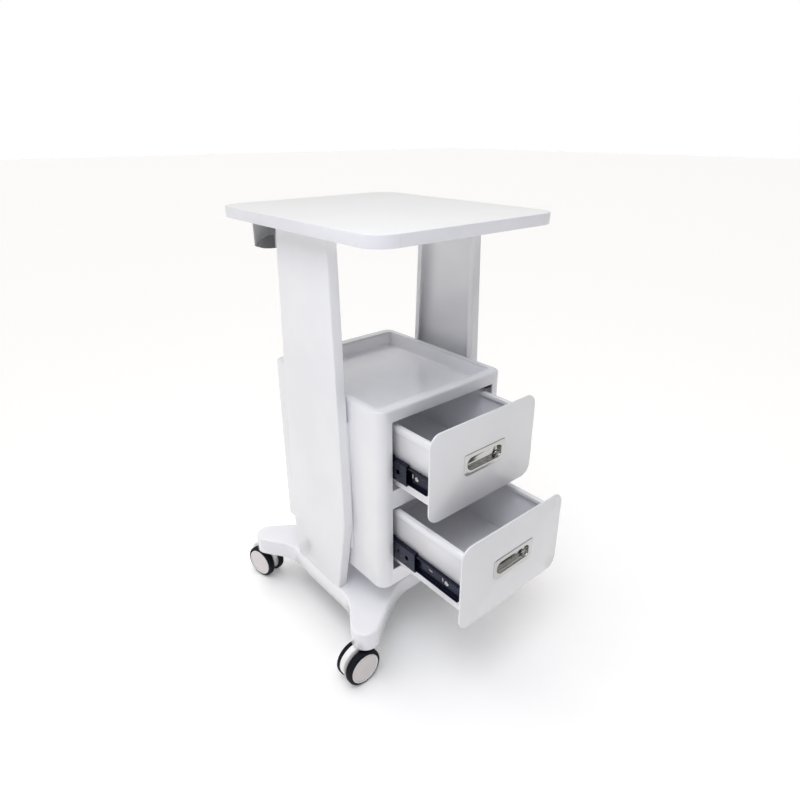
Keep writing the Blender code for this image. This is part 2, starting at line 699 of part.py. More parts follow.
def make_slides(level, drawer, middle):
    mount = OPENING_HALF
    heights = SLIDE_HALF_HEIGHTS
    outer = slide_section(mount - GAP, mount - 0.0110, heights["outer"], False)
    centre = slide_section(mount - 0.0022, mount - 0.0109, heights["middle"], False)
    inner = slide_section(mount - 0.0125, mount - 0.0045, heights["inner"], True)
    fixed = (SLIDE_OUTER_FRONT, SLIDE_OUTER_FRONT + SLIDE_LENGTH)
    moving = (SLIDE_INNER_FRONT, SLIDE_INNER_FRONT + SLIDE_LENGTH)
    height = FRONT_CENTRES[level] + SLIDE_DROP
    for side, word in ((-1, "left"), (1, "right")):
        label = level + "_slide_" + word
        make_slide_member(label + "_outer", side, outer, fixed, height, TROLLEY)
        make_slide_member(label + "_middle", side, centre, (0, SLIDE_LENGTH - 0.010), 0, middle)
        make_slide_member(label + "_inner", side, inner, moving, SLIDE_DROP, drawer)


def make_drawer(level):
    centre = FRONT_CENTRES[level]
    drawer = add_empty(level + "_drawer_slide", (0, plate_back() - DRAWN_OUT[level], centre), TROLLEY)
    middle = add_empty(level + "_middle_slide", (0, MIDDLE_FRONT[level], centre + SLIDE_DROP), TROLLEY)
    make_drawer_front(level, drawer)
    make_drawer_box(level, drawer)
    make_pull(level, drawer)
    make_slides(level, drawer, middle)


# --------------------------------------------------------------- rear handle
def handle_path():
    """Plan of the floor's edge, from the rear left round the front."""
    right = [Vector((HANDLE_HALF, HANDLE_REAR)),
             Vector((HANDLE_HALF, HANDLE_FRONT + HANDLE_CORNER))]
    centre = Vector((HANDLE_HALF - HANDLE_CORNER, HANDLE_FRONT + HANDLE_CORNER))
    for step in range(1, 7):
        angle = math.radians(-15 * step)
        right.append(centre + Vector((math.cos(angle), math.sin(angle))) * HANDLE_CORNER)
    left = [Vector((-p.x, p.y)) for p in right]
    return left + right[::-1]


def make_handle():
    """Moulded trough under the rear edge, with finger room behind its lip."""
    path = handle_path()
    floor = [Vector((p.x, p.y, HANDLE_FLOOR)) for p in path]
    rim = []
    for p in path:
        rise = min(1.0, (HANDLE_REAR - p.y) / (HANDLE_REAR - HANDLE_FRONT - HANDLE_CORNER * 0.12))
        rim.append(Vector((p.x, p.y - 0.002 * rise, HANDLE_FLOOR + HANDLE_LIP * rise)))
    bm = bmesh.new()
    low = [bm.verts.new(p) for p in floor]
    high = [bm.verts.new(p) for p in rim]
    for i in range(len(low) - 1):
        bm.faces.new((low[i], low[i + 1], high[i + 1], high[i]))
    bm.faces.new(reversed(low))
    top = TOP_HEIGHT - TOP_THICKNESS - GAP
    wall = [bm.verts.new((side * HANDLE_HALF, HANDLE_REAR, top)) for side in (-1, 1)]
    lip = [bm.verts.new((side * HANDLE_HALF, HANDLE_REAR - HANDLE_FLANGE, top)) for side in (-1, 1)]
    bm.faces.new((low[-1], low[0], wall[0], wall[1]))
    bm.faces.new((wall[1], wall[0], lip[0], lip[1]))
    bmesh.ops.remove_doubles(bm, verts=bm.verts, dist=0.00001)
    handle = add_object("rear_handle", mesh_from(bm, "rear_handle"), GREY_ABS, TROLLEY)
    thicken(handle, HANDLE_WALL)


# --------------------------------------------------------------------- build
clear_scene()
PARTS = new_collection("rolling_salon_trolley")
CUTTERS = new_collection("cutters")

WHITE_STEEL = material("white_powder_coated_steel", "#EFEFF1", 0.0, 0.28)
GLOSS_WHITE = material("gloss_white_abs", "#F4F4F8", 0.0, 0.15)
LAMINATE = material("white_laminate", "#F3F3F3", 0.0, 0.35)
EDGING = material("white_pvc_edging", "#E8E8EC", 0.0, 0.30)
GREY_ABS = material("grey_abs", "#6E6E6E", 0.0, 0.45)
WHITE_NYLON = material("white_nylon", "#F2F2F0", 0.0, 0.40)
RUBBER = material("black_rubber", "#23232F", 0.0, 0.60)
SLIDE_BLACK = material("black_electrocoated_steel", "#14141F", 0.6, 0.35)
CHROME = material("chromed_zinc", "#D8D8D6", 1.0, 0.10)
ZINC = material("zinc_plated_steel", "#C4C6C8", 1.0, 0.30)
DARK_STEEL = material("dark_steel", "#3A3A3E", 0.8, 0.45)

TROLLEY = add_empty("trolley", (0, CENTRE_SHIFT, 0))
make_tabletop()
make_upright("upright_left", -1)
make_upright("upright_right", 1)
make_cabinet_shell()
make_tray()
make_cabinet_floor()
make_slide_mount("slide_mount_left", -1)
make_slide_mount("slide_mount_right", 1)
make_cabinet_hanger("cabinet_hanger_left", -1)
make_cabinet_hanger("cabinet_hanger_right", 1)
make_cabinet_bolts()
make_base_cover()
make_base_plate()
make_foot_bolts()
make_castors()
make_drawer("upper")
make_drawer("lower")
make_handle()
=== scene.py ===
# %% [markdown]
# # A rolling two-drawer trolley
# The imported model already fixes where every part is, how big it is and how it
# moves. This script dresses it. The folded sheets, mouldings and castors are
# made again as fine meshes, small screws and ball cages are added, and every
# surface gets the finish that the real trolley has.

# %% Load the frame
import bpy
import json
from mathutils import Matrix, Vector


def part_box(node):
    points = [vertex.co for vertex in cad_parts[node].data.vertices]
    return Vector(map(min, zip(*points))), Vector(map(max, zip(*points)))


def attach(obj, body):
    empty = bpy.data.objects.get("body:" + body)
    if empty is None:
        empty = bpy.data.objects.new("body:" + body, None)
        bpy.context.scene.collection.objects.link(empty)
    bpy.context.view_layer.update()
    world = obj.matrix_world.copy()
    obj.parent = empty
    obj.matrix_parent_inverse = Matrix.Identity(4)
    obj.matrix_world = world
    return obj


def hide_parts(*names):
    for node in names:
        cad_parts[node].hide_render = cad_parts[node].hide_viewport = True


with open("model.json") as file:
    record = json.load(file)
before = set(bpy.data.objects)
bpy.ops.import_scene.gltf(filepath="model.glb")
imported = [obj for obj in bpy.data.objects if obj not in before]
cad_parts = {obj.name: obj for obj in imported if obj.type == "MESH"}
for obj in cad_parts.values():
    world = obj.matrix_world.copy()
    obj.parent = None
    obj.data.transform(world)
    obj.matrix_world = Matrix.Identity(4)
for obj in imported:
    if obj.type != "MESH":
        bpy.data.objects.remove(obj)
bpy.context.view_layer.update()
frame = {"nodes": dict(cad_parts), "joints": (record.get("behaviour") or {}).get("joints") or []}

# %% Modules and driving places
import json
import math

import bmesh
import bpy
from mathutils import Matrix, Vector

shell_low, shell_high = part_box("cabinet_shell")
MIDDLE_Y = (shell_low.y + shell_high.y) / 2      # the cabinet's centre line
GAP = 0.0003
print("cabinet centre line at y =", round(MIDDLE_Y, 4))

# %% [markdown]
# ## Camera
# The trolley is seen from above its tabletop, turned so that the front and one
# side are both seen. A short lens close to the object gives a strong
# perspective, where a long lens would flatten it.

# %% Camera
EYE = Vector((-0.7111, -0.8264, 0.9946))
YAW, PITCH = -40.72, -23.33
camera_data = bpy.data.cameras.new("camera")
camera_data.sensor_width = 36
camera_data.lens = 26.69
camera_data.shift_x, camera_data.shift_y = -0.0026, -0.0189
camera = bpy.data.objects.new("camera", camera_data)
bpy.context.scene.collection.objects.link(camera)
camera.location = EYE
camera.rotation_euler = (math.radians(90 + PITCH), 0, math.radians(YAW))
bpy.context.scene.camera = camera
bpy.context.scene.view_settings.view_transform = "Standard"
bpy.context.scene.cycles.diffuse_bounces = 8     # white sheet lights white sheet many times over
print("camera at", [round(v, 3) for v in EYE], "lens", camera_data.lens, "mm")

# %% [markdown]
# ## Nodes and colours
# Paint charts give colours as sRGB hex, and a renderer works in linear light,
# so one function turns the first into the second. Another adds one node with
# its settings and its links, which keeps each finish below to a few lines.

# %% Colour and node helpers
def linear(hex_colour):
    """An sRGB hex colour as linear RGBA."""
    values = [int(hex_colour[i:i + 2], 16) / 255 for i in (1, 3, 5)]
    return (*[v / 12.92 if v <= 0.04045 else ((v + 0.055) / 1.055) ** 2.4 for v in values], 1)


def add_node(tree, kind, settings, links=()):
    """One node: its sockets and properties by name, its links by socket name."""
    made = tree.nodes.new(kind)
    for name, value in settings.items():
        if hasattr(made, str(name)):
            setattr(made, name, value)
        else:
            made.inputs[name].default_value = value
    for name, source in dict(links).items():
        tree.links.new(source, made.inputs[name])
    return made


print("white paint in linear light", [round(v, 3) for v in linear("#F2F2F4")])

# %% [markdown]
# ## Light and floor
# White gloss paint shows its form only through soft differences of grey. A
# very wide light overhead makes the top brightest, and a small soft one on the
# left reaches into the open drawers. The room is dark on the side that the
# drawers face, so their fronts fall to grey. The floor and the backdrop are
# the same white paper. It lies on a light table, whose faint glow thins the
# shadows, which a lamp from below would do less evenly.

# %% The room's own light
world = bpy.data.worlds.new("studio")
bpy.context.scene.world = world
world.use_nodes = True
tree = world.node_tree
tree.nodes.clear()
direction = add_node(tree, "ShaderNodeTexCoord", {})
split = add_node(tree, "ShaderNodeSeparateXYZ", {}, {"Vector": direction.outputs["Generated"]})
DARK_SIDE, BRIGHT_SIDE = -1.0, 0.6               # where the room's grey starts and ends, along Y
across = add_node(tree, "ShaderNodeMapRange", {"From Min": DARK_SIDE, "From Max": BRIGHT_SIDE},
                  {"Value": split.outputs["Y"]})
room = add_node(tree, "ShaderNodeValToRGB", {}, {"Fac": across.outputs["Result"]})
room.color_ramp.elements[0].color = linear("#1F1C1B")
room.color_ramp.elements[1].color = linear("#F4F5F8")
room_light = add_node(tree, "ShaderNodeBackground", {"Strength": 0.62},
                      {"Color": room.outputs["Color"]})
paper = add_node(tree, "ShaderNodeBackground", {"Color": linear("#FFFFFF"), "Strength": 1.0})
seen = add_node(tree, "ShaderNodeLightPath", {})
mixed = add_node(tree, "ShaderNodeMixShader", {}, {0: seen.outputs["Is Camera Ray"],
                                                   1: room_light.outputs[0], 2: paper.outputs[0]})
add_node(tree, "ShaderNodeOutputWorld", {}, {"Surface": mixed.outputs[0]})
print("room light", round(room_light.inputs["Strength"].default_value, 2))

# %% Lamps

def add_light(name, kind, strength, colour, place, target, **settings):
    data = bpy.data.lights.new(name, kind)
    data.energy = strength
    data.color = linear(colour)[:3]
    for key, value in settings.items():
        setattr(data, key, value)
    lamp = bpy.data.objects.new(name, data)
    bpy.context.scene.collection.objects.link(lamp)
    lamp.location = place
    lamp.rotation_euler = (Vector(target) - Vector(place)).to_track_quat("-Z", "Y").to_euler()


add_light("overhead_sky", "SUN", 1.7, "#FFFBF6", (-0.25, 0.30, 2.0), (0, 0, 0),
          angle=math.radians(75))
add_light("left_softbox", "AREA", 6.0, "#ECF2FF", (-0.66, -0.62, 1.60), (0, -0.25, 0.45),
          size=0.7)
print("lights", len(bpy.data.lights))

# %% Paper floor
PAPER_GLOW = 0.16

def paper_floor():
    made = bpy.data.materials.new("white_paper")
    made.use_nodes = True
    nodes = made.node_tree
    shader = nodes.nodes["Principled BSDF"]
    fibres = add_node(nodes, "ShaderNodeTexNoise", {"Scale": 900.0, "Detail": 3.0})
    ramp = add_node(nodes, "ShaderNodeValToRGB", {}, {"Fac": fibres.outputs["Fac"]})
    ramp.color_ramp.elements[0].color = linear("#F6F6F6")
    ramp.color_ramp.elements[1].color = linear("#FAFAFA")
    nodes.links.new(ramp.outputs["Color"], shader.inputs["Base Color"])
    shader.inputs["Roughness"].default_value = 0.9
    shader.inputs["Emission Color"].default_value = linear("#FFFFFF")
    shader.inputs["Emission Strength"].default_value = PAPER_GLOW
    return made


bpy.ops.mesh.primitive_grid_add(size=50, x_subdivisions=10, y_subdivisions=10)
floor = bpy.context.object
floor.name = "paper_floor"
floor.data.materials.append(paper_floor())
print("floor", [round(v) for v in floor.dimensions[:2]], "m")

# %% [markdown]
# ## Finishes
# The trolley is almost all white, in five different white materials. What
# tells them apart is how their surfaces were made: sprayed, moulded, pressed
# or drawn. So each finish is a colour, a gloss and a fine relief whose size
# comes from the real process. Relief too fine to show is drawn a few times
# coarser than life, or it would vanish.

# %% One function for a finished surface
MM = 0.001


def surface(name, colour, darker, roughness, spread, grain, depth, metallic=0.0, ior=None,
            coat=0.0, stretch=(1, 1, 1), detail=3.0):
    """A finish by name: two close tones, a gloss range and a relief.

    grain is the size of the relief in metres, depth its height in metres.
    """
    made = bpy.data.materials.new(name)
    made.use_nodes = True
    nodes = made.node_tree
    shader = nodes.nodes["Principled BSDF"]
    place = add_node(nodes, "ShaderNodeTexCoord", {})
    along = add_node(nodes, "ShaderNodeMapping", {"Scale": stretch},
                     {"Vector": place.outputs["Object"]})
    relief = add_node(nodes, "ShaderNodeTexNoise", {"Scale": 1 / grain, "Detail": detail},
                      {"Vector": along.outputs["Vector"]})
    patches = add_node(nodes, "ShaderNodeTexNoise", {"Scale": 9.0, "Detail": 2.0},
                       {"Vector": place.outputs["Object"]})
    tones = add_node(nodes, "ShaderNodeValToRGB", {}, {"Fac": patches.outputs["Fac"]})
    tones.color_ramp.elements[0].position, tones.color_ramp.elements[1].position = 0.35, 0.65
    tones.color_ramp.elements[0].color = linear(darker)
    tones.color_ramp.elements[1].color = linear(colour)
    gloss = add_node(nodes, "ShaderNodeMapRange",
                     {"To Min": roughness - spread, "To Max": roughness + spread},
                     {"Value": relief.outputs["Fac"]})
    bump = add_node(nodes, "ShaderNodeBump", {"Strength": 1.0, "Distance": depth},
                    {"Height": relief.outputs["Fac"]})
    nodes.links.new(tones.outputs["Color"], shader.inputs["Base Color"])
    nodes.links.new(gloss.outputs["Result"], shader.inputs["Roughness"])
    nodes.links.new(bump.outputs["Normal"], shader.inputs["Normal"])
    shader.inputs["Metallic"].default_value = metallic
    if ior:
        shader.inputs["IOR"].default_value = ior
    shader.inputs["Coat Weight"].default_value = coat
    shader.inputs["Coat Roughness"].default_value = 0.06
    return made


print("one millimetre is", MM, "scene units")

# %% The white finishes
# Polyester powder, sprayed on and baked: glossy, with a soft orange peel of
# about 2 mm, drawn at 3 mm, that ripples the reflections.
POWDER = surface("white_powder_coat", "#F3F3F5", "#EFEFF2", 0.22, 0.03, 3 * MM, 0.03 * MM,
                 ior=1.5, coat=0.35)
# ABS from a polished mould: the glossiest white, with faint sink marks.
GLOSS_ABS = surface("gloss_white_abs", "#F6F6F9", "#F1F1F5", 0.12, 0.02, 12 * MM, 0.03 * MM,
                    ior=1.54, coat=0.5)
# Melamine laminate: pressed paper under resin, satin, with a fine stipple.
LAMINATE = surface("white_laminate", "#F1F1F0", "#EFEFED", 0.38, 0.05, 1.2 * MM, 0.02 * MM,
                   ior=1.5)
# PVC edging, drawn through a die, so its faint lines run along the edge.
EDGING = surface("white_edging", "#ECECF0", "#E6E6EB", 0.30, 0.05, 2 * MM, 0.02 * MM,
                 ior=1.53, stretch=(0.2, 0.2, 3))
# Natural white nylon: satin, slightly translucent in life, with no gloss coat.
NYLON = surface("white_nylon", "#FAFAF9", "#F5F5F4", 0.36, 0.05, 4 * MM, 0.03 * MM, ior=1.53)
print("white finishes", 5)

# %% The grey handle
# Grey ABS with a spark-eroded texture, which scatters the light evenly. Its grey is lighter than
# the real moulding's: painted light on the trough's inside rear wall.
GREY_ABS_PAINTED_LIGHT = surface("grey_abs", "#C4C5C7", "#BBBCBE", 0.40, 0.08, 0.9 * MM, 0.05 * MM, ior=1.54)
# The same ABS made much darker for the handle's outer faces: painted shade for the tabletop's
# shadow, with a duller texture.
GREY_ABS_PAINTED_SHADE = surface("grey_abs_painted_shade", "#5F6064", "#58595D", 0.55, 0.08, 0.9 * MM, 0.08 * MM,
                    ior=1.5)

# %% The metals
# Electrocoated slide steel: a thin dark film that shows the rolled metal's sheen.
SLIDE = surface("black_slide_steel", "#191E36", "#101428", 0.28, 0.08, 1.5 * MM, 0.02 * MM,
                metallic=0.55, stretch=(1, 0.15, 1))
# Chromed zinc die casting: a mirror with a trace of the polishing wheel.
CHROME = surface("chromed_zinc", "#C6C6C4", "#BDBDBA", 0.12, 0.04, 5 * MM, 0.004 * MM,
                 metallic=1.0)
# Zinc-plated screws: bright but frosted, a little bluer than chrome.
ZINC = surface("zinc_plated_steel", "#CDD0D4", "#B9BCC1", 0.30, 0.08, 0.8 * MM, 0.01 * MM,
               metallic=1.0)
# Dark stoved steel under the base.
DARK = surface("dark_steel", "#3B3C40", "#323337", 0.45, 0.08, 2 * MM, 0.03 * MM, metallic=0.6)

# %% [markdown]
# The tyres are soft rubber round a nylon wheel. Rubber is nearly black with a
# blue cast and has no clear reflection, so its IOR is set below the real 1.52.
# The ribs of the tread are turned into the tyre's outline further down, and
# the relief here is only the fine grain of the mould.

# %% Tyre rubber and wheel covers
RUBBER = surface("castor_rubber", "#10101D", "#0A0A15", 0.62, 0.10, 0.7 * MM, 0.06 * MM,
                 ior=1.3, detail=5.0)
COVER_GREY = surface("wheel_cover_abs", "#EAE3E2", "#E3DCDB", 0.34, 0.05, 1.6 * MM, 0.02 * MM,
                     ior=1.54)

# %% [markdown]
# ## Making a piece
# Most of this trolley is sheet bent round corners, so most pieces start as
# rows of points joined into an open skin, which then gets the thickness of
# the sheet, its cut-outs, and a small round on every edge. Real edges are
# never sharp, and that round is what catches a thin line of light.

# %% Rings and skins
MERGE = 0.00001                                  # points closer than this are one
QUARTER_TURN = math.radians(90)


def ring(half_x, half_y, radii, z, steps=14):
    """Anticlockwise rounded rectangle; radii is one number or one for each corner."""
    if not isinstance(radii, (tuple, list)):
        radii = (radii,) * 4
    points = []
    for quarter, (side_x, side_y) in enumerate(((1, 1), (-1, 1), (-1, -1), (1, -1))):
        radius = max(radii[quarter], 0.0001)
        for step in range(steps + 1):
            angle = QUARTER_TURN * (quarter + step / steps)
            points.append(Vector((side_x * (half_x - radius) + radius * math.cos(angle),
                                  side_y * (half_y - radius) + radius * math.sin(angle), z)))
    return points


def skin(rows, closed=True, first_cap=False, last_cap=False, loop=False, flip=False):
    """Join rows of points. Going up, closed rows face out; loop joins last to first."""
    bm = bmesh.new()
    grid = [[bm.verts.new(point) for point in row] for row in rows]
    count = len(rows[0])
    pairs = list(zip(grid, grid[1:])) + ([(grid[-1], grid[0])] if loop else [])
    for low, high in pairs:
        for i in range(count if closed else count - 1):
            j = (i + 1) % count
            bm.faces.new((low[i], low[j], high[j], high[i]))
    if first_cap:
        bm.faces.new(reversed(grid[0]))
    if last_cap:
        bm.faces.new(grid[-1])
    bmesh.ops.remove_doubles(bm, verts=bm.verts, dist=MERGE)
    if flip:
        bmesh.ops.reverse_faces(bm, faces=bm.faces)
    return mesh_of(bm)


def mesh_of(bm):
    mesh = bpy.data.meshes.new("made")
    bm.to_mesh(mesh)
    bm.free()
    return mesh


print("a ring has", len(ring(1, 1, 0.1, 0)), "points")


# %% Bends and rounded edges
def bent(points, radius, steps=5):
    """A polyline with each inner corner turned into an arc of sheet bending."""
    points = [Vector(p) for p in points]
    out = [points[0]]
    for before, corner, after in zip(points, points[1:], points[2:]):
        to_a, to_b = (before - corner).normalized(), (after - corner).normalized()
        half = to_a.angle(to_b) / 2
        reach = radius / math.tan(half)
        centre = corner + (to_a + to_b).normalized() * (radius / math.sin(half))
        start, end = corner + to_a * reach - centre, corner + to_b * reach - centre
        for step in range(steps + 1):
            blend = start.lerp(end, step / steps).normalized() * radius
            out.append(centre + blend)
    return out + [points[-1]]


def inset_loop(loop, inset):
    """An anticlockwise flat outline moved inward by an inset."""
    moved = []
    for i, point in enumerate(loop):
        along = (loop[(i + 1) % len(loop)] - loop[i - 1]).normalized()
        moved.append(point + Vector((-along.y, along.x)) * inset)
    return moved


def round_edge(radius, low, high, steps=4):
    """(inset, height) pairs of a wall from low to high with its top edge rounded."""
    pairs = [(0, low), (0, high - radius)]
    for step in range(1, steps + 1):
        angle = QUARTER_TURN * step / steps
        pairs.append((radius * (1 - math.cos(angle)), high - radius * (1 - math.sin(angle))))
    return pairs


print("a right-angle bend has", len(bent([(1, 0, 0), (0, 0, 0), (0, 1, 0)], 0.1)), "points")


# %% Sheet thickness, cuts and arrises
def temporary(mesh):
    thing = bpy.data.objects.new("temporary", mesh)
    bpy.context.scene.collection.objects.link(thing)
    return thing


def finished_mesh(mesh, sheet=0.0, cuts=(), arris=0.0, segments=2):
    """Apply sheet thickness, cut-outs and rounded edges, and return the new mesh."""
    work = temporary(mesh)
    if sheet:
        solid = work.modifiers.new("sheet", "SOLIDIFY")
        solid.thickness, solid.offset = sheet, -1
        solid.solidify_mode = "NON_MANIFOLD"
        solid.nonmanifold_thickness_mode = "CONSTRAINTS"
    tools = [temporary(cut) for cut in cuts]
    for tool in tools:
        step = work.modifiers.new("cut", "BOOLEAN")
        step.operation, step.object, step.solver = "DIFFERENCE", tool, "EXACT"
    if arris:
        edge = work.modifiers.new("arris", "BEVEL")
        edge.width, edge.segments, edge.limit_method = arris, segments, "ANGLE"
        edge.angle_limit = math.radians(38)
    bpy.context.view_layer.update()
    graph = bpy.context.evaluated_depsgraph_get()
    result = bpy.data.meshes.new_from_object(work.evaluated_get(graph), depsgraph=graph)
    for thing in [work, *tools]:
        bpy.data.objects.remove(thing, do_unlink=True)
    return result


print("modifiers are applied, none is left on a piece")

# %% [markdown]
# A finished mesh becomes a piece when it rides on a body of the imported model,
# so that it moves with that body's joint, and takes the place of the plainer
# solid that stands there. Smooth shading stops at real corners only.


# %% Fitting a piece
def fit(name, mesh, finish, body, nodes=(), place=None, angle=35):
    """Put a piece on its body, with its finish, in place of the CAD nodes it stands for."""
    if place:
        mesh.transform(place)
    piece = bpy.data.objects.new(name, mesh)
    bpy.context.scene.collection.objects.link(piece)
    mesh.materials.clear()
    mesh.materials.append(finish)
    mesh.shade_smooth()
    mesh.set_sharp_from_angle(angle=math.radians(angle))
    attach(piece, body)
    if nodes:
        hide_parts(*nodes)
    return piece


# %% Turned shapes, blocks and rows
def turned(profile, steps=40):
    """Spin (height, radius) points about Z into a closed mesh."""
    bm = bmesh.new()
    chain = [bm.verts.new((radius, 0, height)) for height, radius in profile]
    edges = [bm.edges.new(pair) for pair in zip(chain, chain[1:])]
    bmesh.ops.spin(bm, geom=chain + edges, cent=(0, 0, 0), axis=(0, 0, 1),
                   angle=math.tau, steps=steps, use_duplicate=False)
    bmesh.ops.remove_doubles(bm, verts=bm.verts, dist=MERGE)
    bmesh.ops.recalc_face_normals(bm, faces=bm.faces)
    return mesh_of(bm)


def aimed(point, way):
    """Matrix that carries a shape along Z to a point and a direction."""
    turn = Vector((0, 0, 1)).rotation_difference(Vector(way)).to_matrix().to_4x4()
    return Matrix.Translation(point) @ turn


def block(low, high):
    bm = bmesh.new()
    size, middle = Vector(high) - Vector(low), (Vector(high) + Vector(low)) / 2
    bmesh.ops.create_cube(bm, size=1,
                          matrix=Matrix.Translation(middle) @ Matrix.Diagonal((*size, 1)))
    return mesh_of(bm)


def merged(meshes):
    """Several meshes as one, for a row of alike small parts."""
    bm = bmesh.new()
    for mesh in meshes:
        bm.from_mesh(mesh)
        bpy.data.meshes.remove(mesh)
    return mesh_of(bm)


FORWARD = Matrix.Rotation(QUARTER_TURN, 4, "X")  # turns +Z towards -Y


def at(x, y, z):
    """A place measured from the cabinet's centre line."""
    return Vector((x, y + MIDDLE_Y, z))


print("a place 0.1 m ahead of the centre line is", [round(v, 3) for v in at(0, -0.1, 0)])

# %% [markdown]
# ## Tabletop
# A 16 to 20 mm board is faced with laminate and then edged. The edging goes on
# as strips, straight ones along the sides and bent ones at the corners, and
# hairline joints show where they meet. A single ring would be simpler, but
# those joints are part of how such a top looks.

# %% The laminated board
band_low, band_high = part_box("tabletop_edge_band")
TOP_CORNER, TOP_STEPS, BAND = 0.044, 24, 0.002
HAIRLINE = 0.0003                                # the joints, and the board's eased edges
top_half = (band_high - band_low) / 2
top_middle = (band_high + band_low) / 2
top_place = Matrix.Translation((top_middle.x, top_middle.y, band_low.z))


def top_ring(inset, z):
    return ring(top_half.x - inset, top_half.y - inset, TOP_CORNER - inset, z, steps=TOP_STEPS)


thickness = band_high.z - band_low.z
board_edge = BAND + 0.0001
board_rows = [top_ring(board_edge + HAIRLINE, 0), top_ring(board_edge, HAIRLINE),
              top_ring(board_edge, thickness - HAIRLINE),
              top_ring(board_edge + HAIRLINE, thickness)]
board = skin(board_rows, first_cap=True, last_cap=True)
fit("tabletop_laminate_board", board, LAMINATE, "frame", ["tabletop_board"], top_place)
print("board thickness", round(thickness * 1000), "mm")

# %% The edging strips
band_round = 0.0012
band_profile = [(BAND, 0.0), (band_round, 0.0)]
for step in range(5):
    angle = QUARTER_TURN * step / 4
    band_profile.append((band_round * (1 - math.sin(angle)), band_round * (1 - math.cos(angle))))
band_profile += [(inset, thickness - height) for inset, height in reversed(band_profile[2:])]
band_profile += [(band_round, thickness), (BAND, thickness)]


def edging_strip(first, last, joint=HAIRLINE):
    """The strip between two numbered points of the outline, shorter by a joint."""
    rows = []
    for inset, z in band_profile:
        points = top_ring(inset, z)
        part = [points[i % len(points)] for i in range(first, last + 1)]
        part[0] = part[0] + (part[1] - part[0]).normalized() * joint / 2
        part[-1] = part[-1] + (part[-2] - part[-1]).normalized() * joint / 2
        rows.append(part)
    columns = [list(column) for column in zip(*rows)]
    return skin(columns, closed=True, first_cap=True, last_cap=True, flip=True)


strips = []
for corner in range(4):
    first = corner * (TOP_STEPS + 1)
    strips += [edging_strip(first, first + TOP_STEPS),
               edging_strip(first + TOP_STEPS, first + TOP_STEPS + 1)]
fit("tabletop_edging_strips", merged(strips), EDGING, "frame", ["tabletop_edge_band"], top_place)
print("tabletop", [round(v * 1000) for v in top_half * 2], "mm,", len(strips), "edging strips")

# %% [markdown]
# ## Uprights
# Each upright is one 1.5 mm sheet, cut as a bent strip and folded into a
# channel with two lips, then closed by a foot and a head plate. The web stays
# flat, and the two flanges lean out and back in, with a knee in between. A
# press brake leaves a radius of about twice the sheet at each fold.

# %% Folded uprights
UPRIGHT_OUTER, UPRIGHT_DEPTH, UPRIGHT_LIP, UPRIGHT_SHEET = 0.1822, 0.0208, 0.013, 0.0015
FOOT_Z, HEAD_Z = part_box("upright_left")[0].z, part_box("upright_left")[1].z
UPRIGHT_FRONT = [(-0.0647, FOOT_Z), (-0.0953, 0.2934), (-0.0805, HEAD_Z)]
UPRIGHT_REAR = [(0.0895, FOOT_Z), (0.1014, 0.2680), (0.0796, HEAD_Z)]
FOLD, KNEE = 0.0028, 0.060                       # the radii of a fold and of the knee


def kneed(edge):
    """The three points of an edge, its knee rounded, as (y, z)."""
    return [Vector((p.x, p.y)) for p in bent([(*p, 0) for p in edge], KNEE, 6)]


def upright_mesh(side):
    front, rear = kneed(UPRIGHT_FRONT), kneed(UPRIGHT_REAR)
    outer, inner = UPRIGHT_OUTER, UPRIGHT_OUTER - UPRIGHT_DEPTH
    rows = []
    for (front_y, front_z), (rear_y, rear_z) in zip(front, rear):
        section = bent([(inner, front_y + UPRIGHT_LIP, 0), (inner, front_y, 0), (outer, front_y, 0),
                        (outer, rear_y, 0), (inner, rear_y, 0), (inner, rear_y - UPRIGHT_LIP, 0)],
                       FOLD, 5)
        half = len(section) // 2
        rows.append([at(side * p.x, p.y, front_z if i < half else rear_z)
                     for i, p in enumerate(section)])
    return skin(rows, closed=False, first_cap=True, last_cap=True, flip=side < 0)


for side, word in ((-1, "left"), (1, "right")):
    mesh = finished_mesh(upright_mesh(side), sheet=UPRIGHT_SHEET, arris=0.0004)
    fit("upright_" + word + "_folded", mesh, POWDER, "frame", ["upright_" + word])
print("uprights from z =", round(FOOT_Z, 4), "to", round(HEAD_Z, 4))

# %% [markdown]
# ## Cabinet
# The shell is a 2 mm wrapper with rounded corners, whose top edge rolls over
# into a rim that holds the tray. Two windows are punched in its front. The
# tray is a separate glossy moulding, with a fillet round its floor so that it
# can be wiped out.

# %% The shell
SHELL_HALF = ((shell_high.x - shell_low.x) / 2, (shell_high.y - shell_low.y) / 2)
SHELL_CORNER, SHELL_SHEET, RIM_ROUND = 0.020, 0.002, 0.004
TRAY_HALF = (0.143, 0.1555)
WINDOW_HALF, WINDOW_CORNER = 0.1295, 0.0015
WINDOWS = ((0.3902, 0.5308), (0.2117, 0.3522))
shell_place = Matrix.Translation((0, MIDDLE_Y, 0))


def window_cut(low, high):
    rows = [ring(WINDOW_HALF, (high - low) / 2, WINDOW_CORNER, z, steps=4) for z in (-0.03, 0.01)]
    cut = skin(rows, first_cap=True, last_cap=True)
    cut.transform(Matrix.Translation((0, -SHELL_HALF[1], (low + high) / 2)) @ FORWARD)
    return cut


rows = [ring(*SHELL_HALF, SHELL_CORNER, shell_low.z)]
for inset, z in round_edge(RIM_ROUND, 0, shell_high.z)[1:]:
    rows.append(ring(SHELL_HALF[0] - inset, SHELL_HALF[1] - inset, SHELL_CORNER - inset, z))
for grow, corner, drop in ((0.0012, 0.0090, 0), (0.0003, 0.0083, 0.0004), (0, 0.0080, 0.0013)):
    rows.append(ring(TRAY_HALF[0] + grow, TRAY_HALF[1] + grow, corner, shell_high.z - drop))
mesh = finished_mesh(skin(rows), sheet=SHELL_SHEET, cuts=[window_cut(*w) for w in WINDOWS],
                     arris=0.0004)
fit("cabinet_shell_wrapper", mesh, POWDER, "frame", ["cabinet_shell"], shell_place)
print("windows", len(WINDOWS))

